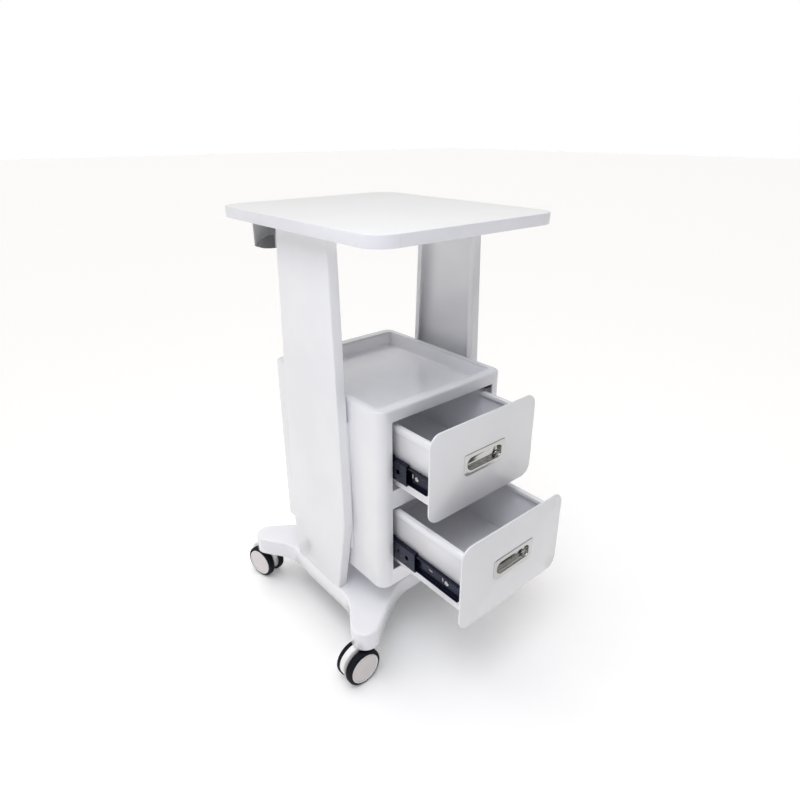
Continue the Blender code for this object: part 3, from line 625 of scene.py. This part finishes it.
# %% The tray
TRAY_FLOOR, TRAY_CORNER, TRAY_FILLET, TRAY_ROLL = 0.5195, 0.0075, 0.006, 0.002
tray_edge = shell_high.z - SHELL_SHEET - GAP
rows = []
for step in range(7):
    angle = QUARTER_TURN * step / 6
    inset, rise = TRAY_FILLET * (1 - math.sin(angle)), TRAY_FILLET * (1 - math.cos(angle))
    rows.append(ring(TRAY_HALF[0] - inset, TRAY_HALF[1] - inset, max(TRAY_CORNER - inset, 0.002),
                     TRAY_FLOOR + rise))
rows.append(ring(*TRAY_HALF, TRAY_CORNER, tray_edge - 0.003))
for step in range(1, 4):
    angle = QUARTER_TURN * step / 3
    out = TRAY_ROLL * (1 - math.cos(angle))
    rows.append(ring(TRAY_HALF[0] + out, TRAY_HALF[1] + out, TRAY_CORNER + out,
                     tray_edge - 0.003 + TRAY_ROLL * math.sin(angle)))
rows.append(ring(TRAY_HALF[0] + 0.0085, TRAY_HALF[1] + 0.0085, 0.013, tray_edge - 0.001))
tray_mesh = skin(rows, first_cap=True)
fit("cabinet_tray_moulding", finished_mesh(tray_mesh, sheet=0.001), GLOSS_ABS, "frame",
    ["cabinet_tray"], shell_place)
print("tray floor at", TRAY_FLOOR)

# %% [markdown]
# ## Base
# The base is a vacuum-formed cover, waisted at the sides so that feet have
# room, with four legs that reach out to the castors. Its outline is drawn for
# one quarter from two smooth curves and an arc, then mirrored. The top edge
# has a generous round, and it is the brightest line on the whole trolley.

# %% Outline of the base
BASE_MIDDLE, BASE_SIDE, BASE_FRONT = 0.008, 0.1846, 0.138
LEG, LEG_END = Vector((0.2005, -0.186)), 0.0285
FLARE_TURN, INNER_TURN, ARC_STEPS, CURVE_STEPS = 30.7, -124.8, 28, 20
cover_low, cover_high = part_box("base_cover")


def bezier(p0, p1, p2, p3, count):
    """Points on a cubic curve, without its last one."""
    points = []
    for i in range(count):
        t = i / count
        s = 1 - t
        points.append(p0 * s**3 + p1 * 3 * s * s * t + p2 * 3 * s * t * t + p3 * t**3)
    return points


def base_quarter():
    """Outline from the right side forward round one leg to the front edge."""
    flare_angle, inner_angle = math.radians(FLARE_TURN), math.radians(INNER_TURN)
    flare = Vector((math.cos(flare_angle), math.sin(flare_angle)))
    inner = Vector((math.cos(inner_angle), math.sin(inner_angle)))
    side = Vector((BASE_SIDE, -0.0916))
    flare_end = LEG + flare * LEG_END
    points = bezier(side, side + Vector((0, -0.030)),
                    flare_end - Vector((flare.y, -flare.x)) * 0.035, flare_end, CURVE_STEPS)
    for step in range(ARC_STEPS):
        angle = flare_angle + (inner_angle - flare_angle) * step / ARC_STEPS
        points.append(LEG + Vector((math.cos(angle), math.sin(angle))) * LEG_END)
    inner_start = LEG + inner * LEG_END
    edge = Vector((0.050, -BASE_FRONT))
    points += bezier(inner_start, inner_start + Vector((inner.y, -inner.x)) * 0.040,
                     edge + Vector((0.040, 0)), edge, CURVE_STEPS)
    points.append(edge)
    return points


quarter = base_quarter()
front_half = [Vector((-p.x, p.y)) for p in quarter] + quarter[::-1]
base_loop = front_half + [Vector((-p.x, -p.y)) for p in front_half]
print("base outline points", len(base_loop))

# %% The base cover
COVER_ROUND, COVER_WALL = 0.0050, 0.003
levels = [(0.0006, cover_low.z), (0, cover_low.z + 0.0008)]
levels += round_edge(COVER_ROUND, cover_low.z, cover_high.z, steps=6)[1:]
rows = []
for inset, z in levels:
    rows.append([at(p.x, p.y + BASE_MIDDLE, z) for p in inset_loop(base_loop, inset)])
mesh = finished_mesh(skin(rows, last_cap=True), sheet=COVER_WALL)
fit("base_cover_moulding", mesh, GLOSS_ABS, "frame", ["base_cover"], angle=50)
print("base height", round((cover_high.z - cover_low.z) * 1000), "mm")

# %% [markdown]
# ## Castors
# A twin-wheel castor has a nylon body between two wheels, and the body turns
# on a steel stem that is pressed into the base. Each wheel is a nylon drum in
# a rubber tyre, closed by a flat cover inside the drum's raised rim. They are
# turned shapes, and the body is a side outline with its edges rounded. Its
# hood stays inside the wheels at the low end and rises above them at the top.

# %% The castor's body
CASTORS = {"front_left": 90.0, "rear_left": 14.0, "front_right": -90.0, "rear_right": -14.0}
WHEEL_RADIUS, WEB_HALF, TRAIL = 0.0375, 0.0065, 0.0212
NECK_LOW, NECK_HIGH, NECK_RADIUS = 0.0785, 0.0853, 0.0145
HOOD_LOW, HOOD_HIGH, HEEL_RADIUS = 0.0290, 0.0450, 0.0285
HOOD_FROM, HOOD_GROWTH = -60, 110                # degrees: the low end, and the arc of the growth


def body_outline():
    """Side outline of the castor's body in (y, z), the swivel axis at y = 0."""
    centre = Vector((TRAIL, WHEEL_RADIUS))
    points = []
    for degrees in range(HOOD_FROM, 80, 3):
        angle = math.radians(degrees)
        growth = min(1, (degrees - HOOD_FROM) / HOOD_GROWTH)
        radius = HOOD_LOW + (HOOD_HIGH - HOOD_LOW) * growth * growth * (3 - 2 * growth)
        points.append(centre + Vector((math.cos(angle), math.sin(angle))) * radius)
    points += [Vector((0.013, NECK_LOW)), Vector((-0.013, NECK_LOW)),
               Vector((-NECK_RADIUS, 0.068))]
    for degrees in range(195, 301, 5):
        angle = math.radians(degrees)
        points.append(centre + Vector((math.cos(angle), math.sin(angle))) * HEEL_RADIUS)
    return points


def castor_body():
    outline = body_outline()
    rows = []
    for inset, x in ((0.0016, -WEB_HALF), (0.0005, -WEB_HALF + 0.0004),
                     (0, -WEB_HALF + 0.0014), (0, WEB_HALF - 0.0014),
                     (0.0005, WEB_HALF - 0.0004), (0.0016, WEB_HALF)):
        rows.append([Vector((x, p.x, p.y)) for p in inset_loop(outline, inset)])
    return skin(rows, first_cap=True, last_cap=True)


print("body outline points", len(body_outline()))

# %% [markdown]
# Each profile below is a half section of the wheel, as (distance from the
# wheel's inner side, radius). The tyre's tread has four fine ribs.

# %% The wheel's profiles
TYRE_PROFILE = [(0.0040, 0.0300), (0.0012, 0.0312), (0.0003, 0.0338), (0.0010, 0.0360),
                (0.0028, 0.0372)]
for rib in range(4):
    start = 0.0040 + rib * 0.0018
    TYRE_PROFILE += [(start, WHEEL_RADIUS), (start + 0.0010, WHEEL_RADIUS),
                     (start + 0.0012, WHEEL_RADIUS - 0.0003),
                     (start + 0.0016, WHEEL_RADIUS - 0.0003)]
TYRE_PROFILE += [(0.0116, 0.0374), (0.0134, 0.0367), (0.0148, 0.0352), (0.0156, 0.0332),
                 (0.0158, 0.0316), (0.0150, 0.0306), (0.0040, 0.0300)]
DRUM_PROFILE = [(0.0002, 0), (0.0002, 0.0090), (0.0022, 0.0100), (0.0022, 0.0270),
                (0.0008, 0.0285), (0.0008, 0.0308), (0.0040, 0.0299), (0.0130, 0.0299),
                (0.0136, 0.0304), (0.0158, 0.0306), (0.0163, 0.0303), (0.0165, 0.0297),
                (0.0164, 0.0290), (0.0158, 0.0286), (0.0135, 0.0285), (0.0135, 0)]
COVER_PROFILE = [(0.0136, 0), (0.0136, 0.0284), (0.0150, 0.0284), (0.0155, 0.0280),
                 (0.0156, 0.0262), (0.0153, 0.0259), (0.0153, 0.0256), (0.0156, 0.0253),
                 (0.0155, 0.0120), (0.0153, 0)]
print("profile points", len(TYRE_PROFILE), len(DRUM_PROFILE), len(COVER_PROFILE))

# %% Four castors
for word, heading in CASTORS.items():
    joint = next(j for j in frame["joints"] if j["name"] == "castor_" + word + "_swivel")
    swivel = Matrix.Translation((joint["pos_m"][0], joint["pos_m"][1], 0))
    swivel = swivel @ Matrix.Rotation(math.radians(heading), 4, "Z")
    label = "castor_" + word
    fit(label + "_body", castor_body(), NYLON, label + "_fork", [label + "_housing"], swivel,
        angle=50)
    collar = turned([(0.0740, 0), (0.0740, 0.0136), (NECK_LOW, NECK_RADIUS),
                     (0.0800, NECK_RADIUS), (0.0846, 0.0133), (NECK_HIGH, 0.0126), (NECK_HIGH, 0)])
    fit(label + "_collar", collar, NYLON, label + "_fork", [label + "_housing"], swivel)
    for side, hand in ((-1, "left"), (1, "right")):
        wheel = label + "_wheel_" + hand
        spot = swivel @ Matrix.Translation((side * (WEB_HALF + 0.0005), TRAIL, WHEEL_RADIUS))
        spot = spot @ Matrix.Rotation(QUARTER_TURN * side, 4, "Y")
        for part, profile, finish in (("tyre", TYRE_PROFILE, RUBBER),
                                      ("drum", DRUM_PROFILE, NYLON),
                                      ("cover", COVER_PROFILE, COVER_GREY)):
            fit(wheel + "_" + part, turned(profile, 72), finish, wheel, [wheel], spot, angle=40)
print("castors", len(CASTORS), "wheels", 2 * len(CASTORS))

# %% [markdown]
# ## Drawers
# Each drawer is a folded box with a hemmed top edge, screwed behind a thick
# flat front. The front is cut from 3 mm plate and its edges are eased before
# coating, so they shine as a thin line all round. The flush pull is one
# chromed casting set into a window in the front.

# %% The drawer front
FRONT_HALF, FRONT_CORNER, FRONT_SHEET = (0.1353, 0.0865), 0.0246, 0.003
PULL_HALF, PULL_OPENING = (0.053, 0.0215), (0.0445, 0.0122)


def front_mesh():
    hole = (PULL_OPENING[0] + 0.0018, PULL_OPENING[1] + 0.0018)
    rows = []
    for inset, z in ((0.0007, 0), (0.0002, 0.0002), (0, 0.0007),
                     (0, 0.0018), (0.0004, 0.0026), (0.0012, FRONT_SHEET)):
        rows.append(ring(FRONT_HALF[0] - inset, FRONT_HALF[1] - inset, FRONT_CORNER - inset, z,
                         steps=20))
    rows += [ring(*hole, 0.0125, z, steps=20) for z in (FRONT_SHEET, 0)]
    return skin(rows, loop=True)


print("drawer front", [round(v * 2000) for v in FRONT_HALF], "mm")

# %% The folded box
BOX_HALF, BOX_LOW, BOX_HIGH, BOX_DEPTH, BOX_SHEET = 0.1166, -0.0625, 0.0588, 0.305, 0.0011
HEM_HEIGHT, HEM_WIDTH, HEM_STEP, HEM_INNER = 0.0145, 0.010, 0.001, 0.007


def box_mesh():
    """Folded sheet box with a hem round its top, from its floor up."""
    half_y = BOX_DEPTH / 2 - HEM_STEP
    step_z = BOX_HIGH - HEM_HEIGHT
    hem_in = HEM_STEP - HEM_WIDTH
    levels = [(-0.0015, BOX_LOW), (-0.0004, BOX_LOW + 0.0004), (0, BOX_LOW + 0.0015),
              (0, step_z - 0.0006), (HEM_STEP * 0.3, step_z), (HEM_STEP, step_z + 0.0010),
              (HEM_STEP, BOX_HIGH - 0.0013), (HEM_STEP - 0.0004, BOX_HIGH - 0.0004),
              (HEM_STEP - 0.0013, BOX_HIGH), (hem_in + 0.0013, BOX_HIGH),
              (hem_in + 0.0004, BOX_HIGH - 0.0004), (hem_in, BOX_HIGH - 0.0013),
              (hem_in, BOX_HIGH - HEM_INNER)]
    rows = [ring(BOX_HALF + grow, half_y + grow, 0.012 + grow, z, steps=8) for grow, z in levels]
    return skin(rows, first_cap=True)


print("box height", round((BOX_HIGH - BOX_LOW) * 1000), "mm")

# %% The flush pull
PULL_DEPTH, PULL_PROUD = 0.011, 0.0012


def pull_mesh():
    """The flange's top corners are almost square and its lower ones round."""
    rows = []
    corners = (0.003, 0.003, 0.011, 0.011)
    for inset, z in ((0, 0.0002), (0, PULL_PROUD - 0.0006), (0.0002, PULL_PROUD - 0.0002),
                     (0.0007, PULL_PROUD)):
        rows.append(ring(PULL_HALF[0] - inset, PULL_HALF[1] - inset,
                         [c - inset for c in corners], z, steps=16))
    for grow, z in ((0.0018, PULL_PROUD), (0.0008, PULL_PROUD - 0.0002),
                    (0.0002, PULL_PROUD - 0.0008), (0, PULL_PROUD - 0.0018),
                    (-0.0008, -PULL_DEPTH + 0.003), (-0.0014, -PULL_DEPTH + 0.001),
                    (-0.0030, -PULL_DEPTH)):
        rows.append(ring(PULL_OPENING[0] + grow, PULL_OPENING[1] + grow, 0.0115 + grow, z,
                         steps=16))
    return skin(rows, last_cap=True)


print("pull", [round(v * 2000) for v in PULL_HALF], "mm")

# %% Two drawers
for level in ("upper", "lower"):
    body = level + "_drawer"
    front_low, front_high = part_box(level + "_drawer_front")
    centre = (front_low + front_high) / 2
    back = Matrix.Translation((0, front_high.y, centre.z))
    fit(level + "_drawer_front_plate", front_mesh(), POWDER, body, [level + "_drawer_front"],
        back @ FORWARD)
    box_place = back @ Matrix.Translation((0, GAP + BOX_DEPTH / 2, 0))
    window = (PULL_OPENING[0] + 0.003, PULL_OPENING[1] + 0.003)
    cut = block((-window[0], -BOX_DEPTH / 2 - 0.01, -window[1]),
                (window[0], -BOX_DEPTH / 2 + 0.01, window[1]))
    mesh = finished_mesh(box_mesh(), sheet=BOX_SHEET, cuts=[cut])
    fit(level + "_drawer_folded_box", mesh, POWDER, body, [level + "_drawer_box"], box_place)
    pull_place = back @ Matrix.Translation((0, -FRONT_SHEET, 0)) @ FORWARD
    mesh = finished_mesh(pull_mesh(), sheet=0.0007)
    fit(level + "_drawer_flush_pull", mesh, CHROME, body, [level + "_drawer_pull"], pull_place,
        angle=50)
    print(level, "drawer at height", round(centre.z, 4))

# %% [markdown]
# ## Ball-bearing slides
# A full-extension slide is three rolled channels, one inside the other, with
# steel balls in a cage on each race. The outer member is screwed to the
# cabinet, the inner to the drawer, and the middle one travels half as far.
# Slots and screw holes are punched through the webs, and the paint behind
# shows through them as bright spots.

# %% Tools that punch the slide members
CUT_REACH = 0.004                                # each way from the middle of the web


def slot_cut(side, x, y, z, half_y, half_z):
    """A slot with round ends through a web that faces sideways."""
    radius = min(half_y, half_z) * 0.999
    rows = [ring(half_y, half_z, radius, height, steps=6) for height in (-CUT_REACH, CUT_REACH)]
    cut = skin(rows, first_cap=True, last_cap=True)
    turn = Matrix(((0, 0, 1, 0), (1, 0, 0, 0), (0, 1, 0, 0), (0, 0, 0, 1)))
    cut.transform(Matrix.Translation((side * x, y, z)) @ turn)
    return cut


def corner_cut(side, x, y, z, radius, up):
    """Takes the square corner off a member's front end."""
    past = -0.002
    rows = []
    for height in (-0.012, 0.012):
        arc = [Vector((past, past, height)), Vector((radius, past, height)),
               Vector((radius, 0, height))]
        for step in range(1, 7):
            angle = QUARTER_TURN * step / 6
            arc.append(Vector((radius - radius * math.sin(angle),
                               radius - radius * math.cos(angle), height)))
        arc.append(Vector((past, radius, height)))
        rows.append(arc)
    cut = skin(rows, first_cap=True, last_cap=True)
    turn = Matrix(((0, 0, 1, side * x), (1, 0, 0, y), (0, up, 0, z), (0, 0, 0, 1)))
    cut.transform(turn)
    if up < 0:
        cut.flip_normals()
    return cut


print("slot tools reach", 2000 * CUT_REACH, "mm through a web")

# %% [markdown]
# The sections of the three members differ only in where the back and the mouth
# stand and in how high they are. The slots are listed as (distance from the
# front end, height above the middle, half length, half height).

# %% The members' sections and slots
# Back and mouth as distances from the trolley's middle plane, and half height.
SECTIONS = {"outer": (0.1292, 0.1185, 0.0228), "middle": (0.1273, 0.1186, 0.0206),
            "inner": (0.1170, 0.1250, 0.0165)}
SLOTS = {"outer": ((0.032, 0, 0.0055, 0.0024), (0.150, 0, 0.0055, 0.0024),
                   (0.262, 0, 0.0055, 0.0024)),
         "middle": ((0.022, 0, 0.0048, 0.0048), (0.046, 0.002, 0.0018, 0.0050),
                    (0.120, 0, 0.0070, 0.0030)),
         "inner": ((0.047, 0.0005, 0.0022, 0.0054), (0.078, 0.0005, 0.0060, 0.0024),
                   (0.140, 0, 0.0060, 0.0022))}
SLIDE_SHEET, SLIDE_FOLD, INNER_CORNER = 0.0012, 0.0016, 0.007


def member_mesh(kind, side, front, rear, height):
    back, mouth, half = SECTIONS[kind]
    section = bent([(mouth, half, 0), (back, half, 0), (back, -half, 0), (mouth, -half, 0)],
                   SLIDE_FOLD, 4)
    if kind == "inner":
        section = section[::-1]
    placed = [(side * p.x, height + p.y) for p in section]
    if side < 0:
        placed = placed[::-1]
    rows = [[Vector((x, y, z)) for x, z in placed] for y in (front, rear)]
    return skin(rows, closed=False)


def member_cuts(kind, side, front, height):
    back = SECTIONS[kind][0]
    return [slot_cut(side, back, front + reach, height + rise, half_y, half_z)
            for reach, rise, half_y, half_z in SLOTS[kind]]


print("slots on each slide", sum(len(slots) for slots in SLOTS.values()))

# %% Twelve members
for level in ("upper", "lower"):
    for side, hand in ((-1, "left"), (1, "right")):
        label = level + "_slide_" + hand
        bodies = {"outer": "frame", "middle": level + "_slide_middles", "inner": level + "_drawer"}
        for kind, body in bodies.items():
            low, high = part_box(label + "_" + kind)
            height = (low.z + high.z) / 2
            mesh = member_mesh(kind, side, low.y, high.y, height)
            cuts = member_cuts(kind, side, low.y, height)
            if kind == "inner":
                cuts += [corner_cut(side, 0.121, low.y, low.z, INNER_CORNER, 1),
                         corner_cut(side, 0.121, low.y, high.z, INNER_CORNER, -1)]
            mesh = finished_mesh(mesh, sheet=SLIDE_SHEET, cuts=cuts)
            fit(label + "_" + kind + "_channel", mesh, SLIDE, body, [label + "_" + kind])
print("slide members", 12)

# %% [markdown]
# A few small parts finish each slide: the folded end that keeps the balls in
# at the front of the middle member, the cage strips with their balls, and the
# screws that hold the inner member to the drawer.

# %% The slide screw
SCREW_RADIUS = 0.0049


def pan_screw():
    """Pan-head machine screw, seen from its head, with a cross recess."""
    head = turned([(0, 0), (0, 0.0047), (0.0007, SCREW_RADIUS), (0.0014, 0.0043), (0.0019, 0.0030),
                   (0.0021, 0)], 24)
    arms = [block((-0.0016, -0.0003, 0.0010), (0.0016, 0.0003, 0.0030)),
            block((-0.0003, -0.0016, 0.0010), (0.0003, 0.0016, 0.0030))]
    return finished_mesh(head, cuts=arms)


print("screw head", round(2000 * SCREW_RADIUS, 1), "mm across")

# %% Ball cages
BALL, BALL_PITCH, BALL_COUNT = 0.0014, 0.009, 6
RACE_X = 0.1216                                  # from the trolley's middle plane
RACE_Z = 0.0179                                  # above and below the slide's middle


def ball_row(side, front, height, edge):
    """A cage strip along one race with a ball every 9 mm."""
    x = side * RACE_X
    strip = [block((x - 0.0022, front, height + edge - 0.0003),
                   (x + 0.0022, front + 0.060, height + edge + 0.0003))]
    for number in range(BALL_COUNT):
        bm = bmesh.new()
        spot = Matrix.Translation((x, front + 0.005 + number * BALL_PITCH, height + edge))
        bmesh.ops.create_icosphere(bm, subdivisions=2, radius=BALL, matrix=spot)
        strip.append(mesh_of(bm))
    return merged(strip)


print("balls in each row", BALL_COUNT)

# %% Cages, stops and screws on every slide
SCREW_REACHES = (0.036, 0.190, 0.270)            # from the inner member's front end
for level in ("upper", "lower"):
    for side, hand in ((-1, "left"), (1, "right")):
        label = level + "_slide_" + hand
        low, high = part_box(label + "_middle")
        height = (low.z + high.z) / 2
        rows = [ball_row(side, low.y + 0.010, height, edge) for edge in (-RACE_Z, RACE_Z)]
        fit(label + "_ball_cage", merged(rows), ZINC, level + "_slide_middles")
        x_low, x_high = sorted((side * 0.1188, side * 0.1258))
        stop = [block((x_low, low.y + 0.0004, height + z - 0.0013),
                      (x_high, low.y + 0.0085, height + z + 0.0013)) for z in (-RACE_Z, RACE_Z)]
        fit(label + "_ball_stop", finished_mesh(merged(stop), arris=0.0005), SLIDE,
            level + "_slide_middles")
        low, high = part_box(label + "_inner")
        height = (low.z + high.z) / 2
        screws = []
        for reach in SCREW_REACHES:
            screw = pan_screw()
            web = side * (SECTIONS["inner"][0] + SLIDE_SHEET)
            screw.transform(aimed((web, low.y + reach, height), (side, 0, 0)))
            screws.append(screw)
        fit(label + "_screws", merged(screws), ZINC, level + "_drawer")
print("screws", 4 * len(SCREW_REACHES))

# %% [markdown]
# ## Rear handle
# The handle is a moulded trough under the tabletop's rear edge. Its tall rear
# wall hangs from the tabletop by a flange, and it is open above a low front
# lip. The rim climbs along each side and round its corner up to that lip, and
# the wall is skinned between the floor's edge and the rim.

# %% The handle's trough
HANDLE_HALF, HANDLE_FRONT, HANDLE_REAR = 0.1663, 0.1496, 0.195
HANDLE_FLOOR, HANDLE_LIP, HANDLE_CORNER = 0.785, 0.027, 0.020
HANDLE_WALL, HANDLE_FLANGE, HANDLE_LEAN = 0.0025, 0.022, 0.002
HANDLE_LEVEL = HANDLE_FRONT + HANDLE_CORNER * 0.12       # from here forward the rim is level


def handle_mesh():
    right = [Vector((HANDLE_HALF, HANDLE_REAR)),
             Vector((HANDLE_HALF, HANDLE_FRONT + HANDLE_CORNER))]
    centre = Vector((HANDLE_HALF - HANDLE_CORNER, HANDLE_FRONT + HANDLE_CORNER))
    for step in range(1, 19):
        angle = math.radians(-5 * step)
        right.append(centre + Vector((math.cos(angle), math.sin(angle))) * HANDLE_CORNER)
    path = [Vector((-p.x, p.y)) for p in right] + right[::-1]
    floor_edge = [at(p.x, p.y, HANDLE_FLOOR) for p in path]
    rim = []
    for p in path:
        rise = min(1.0, (HANDLE_REAR - p.y) / (HANDLE_REAR - HANDLE_LEVEL))
        rim.append(at(p.x, p.y - HANDLE_LEAN * rise, HANDLE_FLOOR + HANDLE_LIP * rise))
    bm = bmesh.new()
    low = [bm.verts.new(p) for p in floor_edge]
    high = [bm.verts.new(p) for p in rim]
    for i in range(len(low) - 1):
        bm.faces.new((low[i], low[i + 1], high[i + 1], high[i]))
    bm.faces.new(reversed(low))
    top = band_low.z - GAP
    wall = [bm.verts.new(at(side * HANDLE_HALF, HANDLE_REAR, top)) for side in (-1, 1)]
    flange = [bm.verts.new(at(side * HANDLE_HALF, HANDLE_REAR - HANDLE_FLANGE, top))
              for side in (-1, 1)]
    bm.faces.new((low[-1], low[0], wall[0], wall[1]))
    bm.faces.new((wall[1], wall[0], flange[0], flange[1]))
    bmesh.ops.remove_doubles(bm, verts=bm.verts, dist=MERGE)
    return mesh_of(bm)


mesh = finished_mesh(handle_mesh(), sheet=HANDLE_WALL, arris=0.0011, segments=3)
fit("rear_handle_moulding", mesh, GREY_ABS_PAINTED_LIGHT, "frame", ["rear_handle"])
print("handle width", round(2 * HANDLE_HALF * 1000), "mm")

# %% [markdown]
# The trough's sides, lip and floor take the darker grey, painted shade for the shadow under the
# tabletop, and its rear wall keeps the lighter grey, painted light. Each face takes its colour by
# its height and by the way it looks.

# %% The handle's outer faces in painted shade
UPWARD = 0.3                                     # faces that look up more than this are rim
mesh.materials.append(GREY_ABS_PAINTED_SHADE)
rim_height = HANDLE_FLOOR + HANDLE_LIP
for face in mesh.polygons:
    outward = face.center - Vector((0, HANDLE_REAR, rim_height))
    painted_shade_face = face.normal.dot(outward) > 0 and face.normal.z < UPWARD
    # outer faces below the rim get the painted shade material
    face.material_index = int(painted_shade_face and face.center.z < rim_height)
print("darker faces", sum(face.material_index for face in mesh.polygons))

# %% [markdown]
# ## Parts that stay as they are
# The cabinet's floor, its hangers and slide mounts, the bolts, the stems and
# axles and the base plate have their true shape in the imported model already,
# so they keep it and only get a finish. Little of them is ever seen.

# %% Finishes for the carried-over parts
KEPT = {"cabinet_floor": POWDER, "slide_mount_left": POWDER, "slide_mount_right": POWDER,
        "cabinet_hanger_left": POWDER, "cabinet_hanger_right": POWDER, "base_plate": DARK}
for name, node in frame["nodes"].items():
    if "bolt" in name or name.endswith(("_stem", "_axle")):
        KEPT[name] = ZINC
for name, finish in KEPT.items():
    node = frame["nodes"][name]
    node.data.materials.clear()
    node.data.materials.append(finish)
print("kept nodes", len(KEPT))
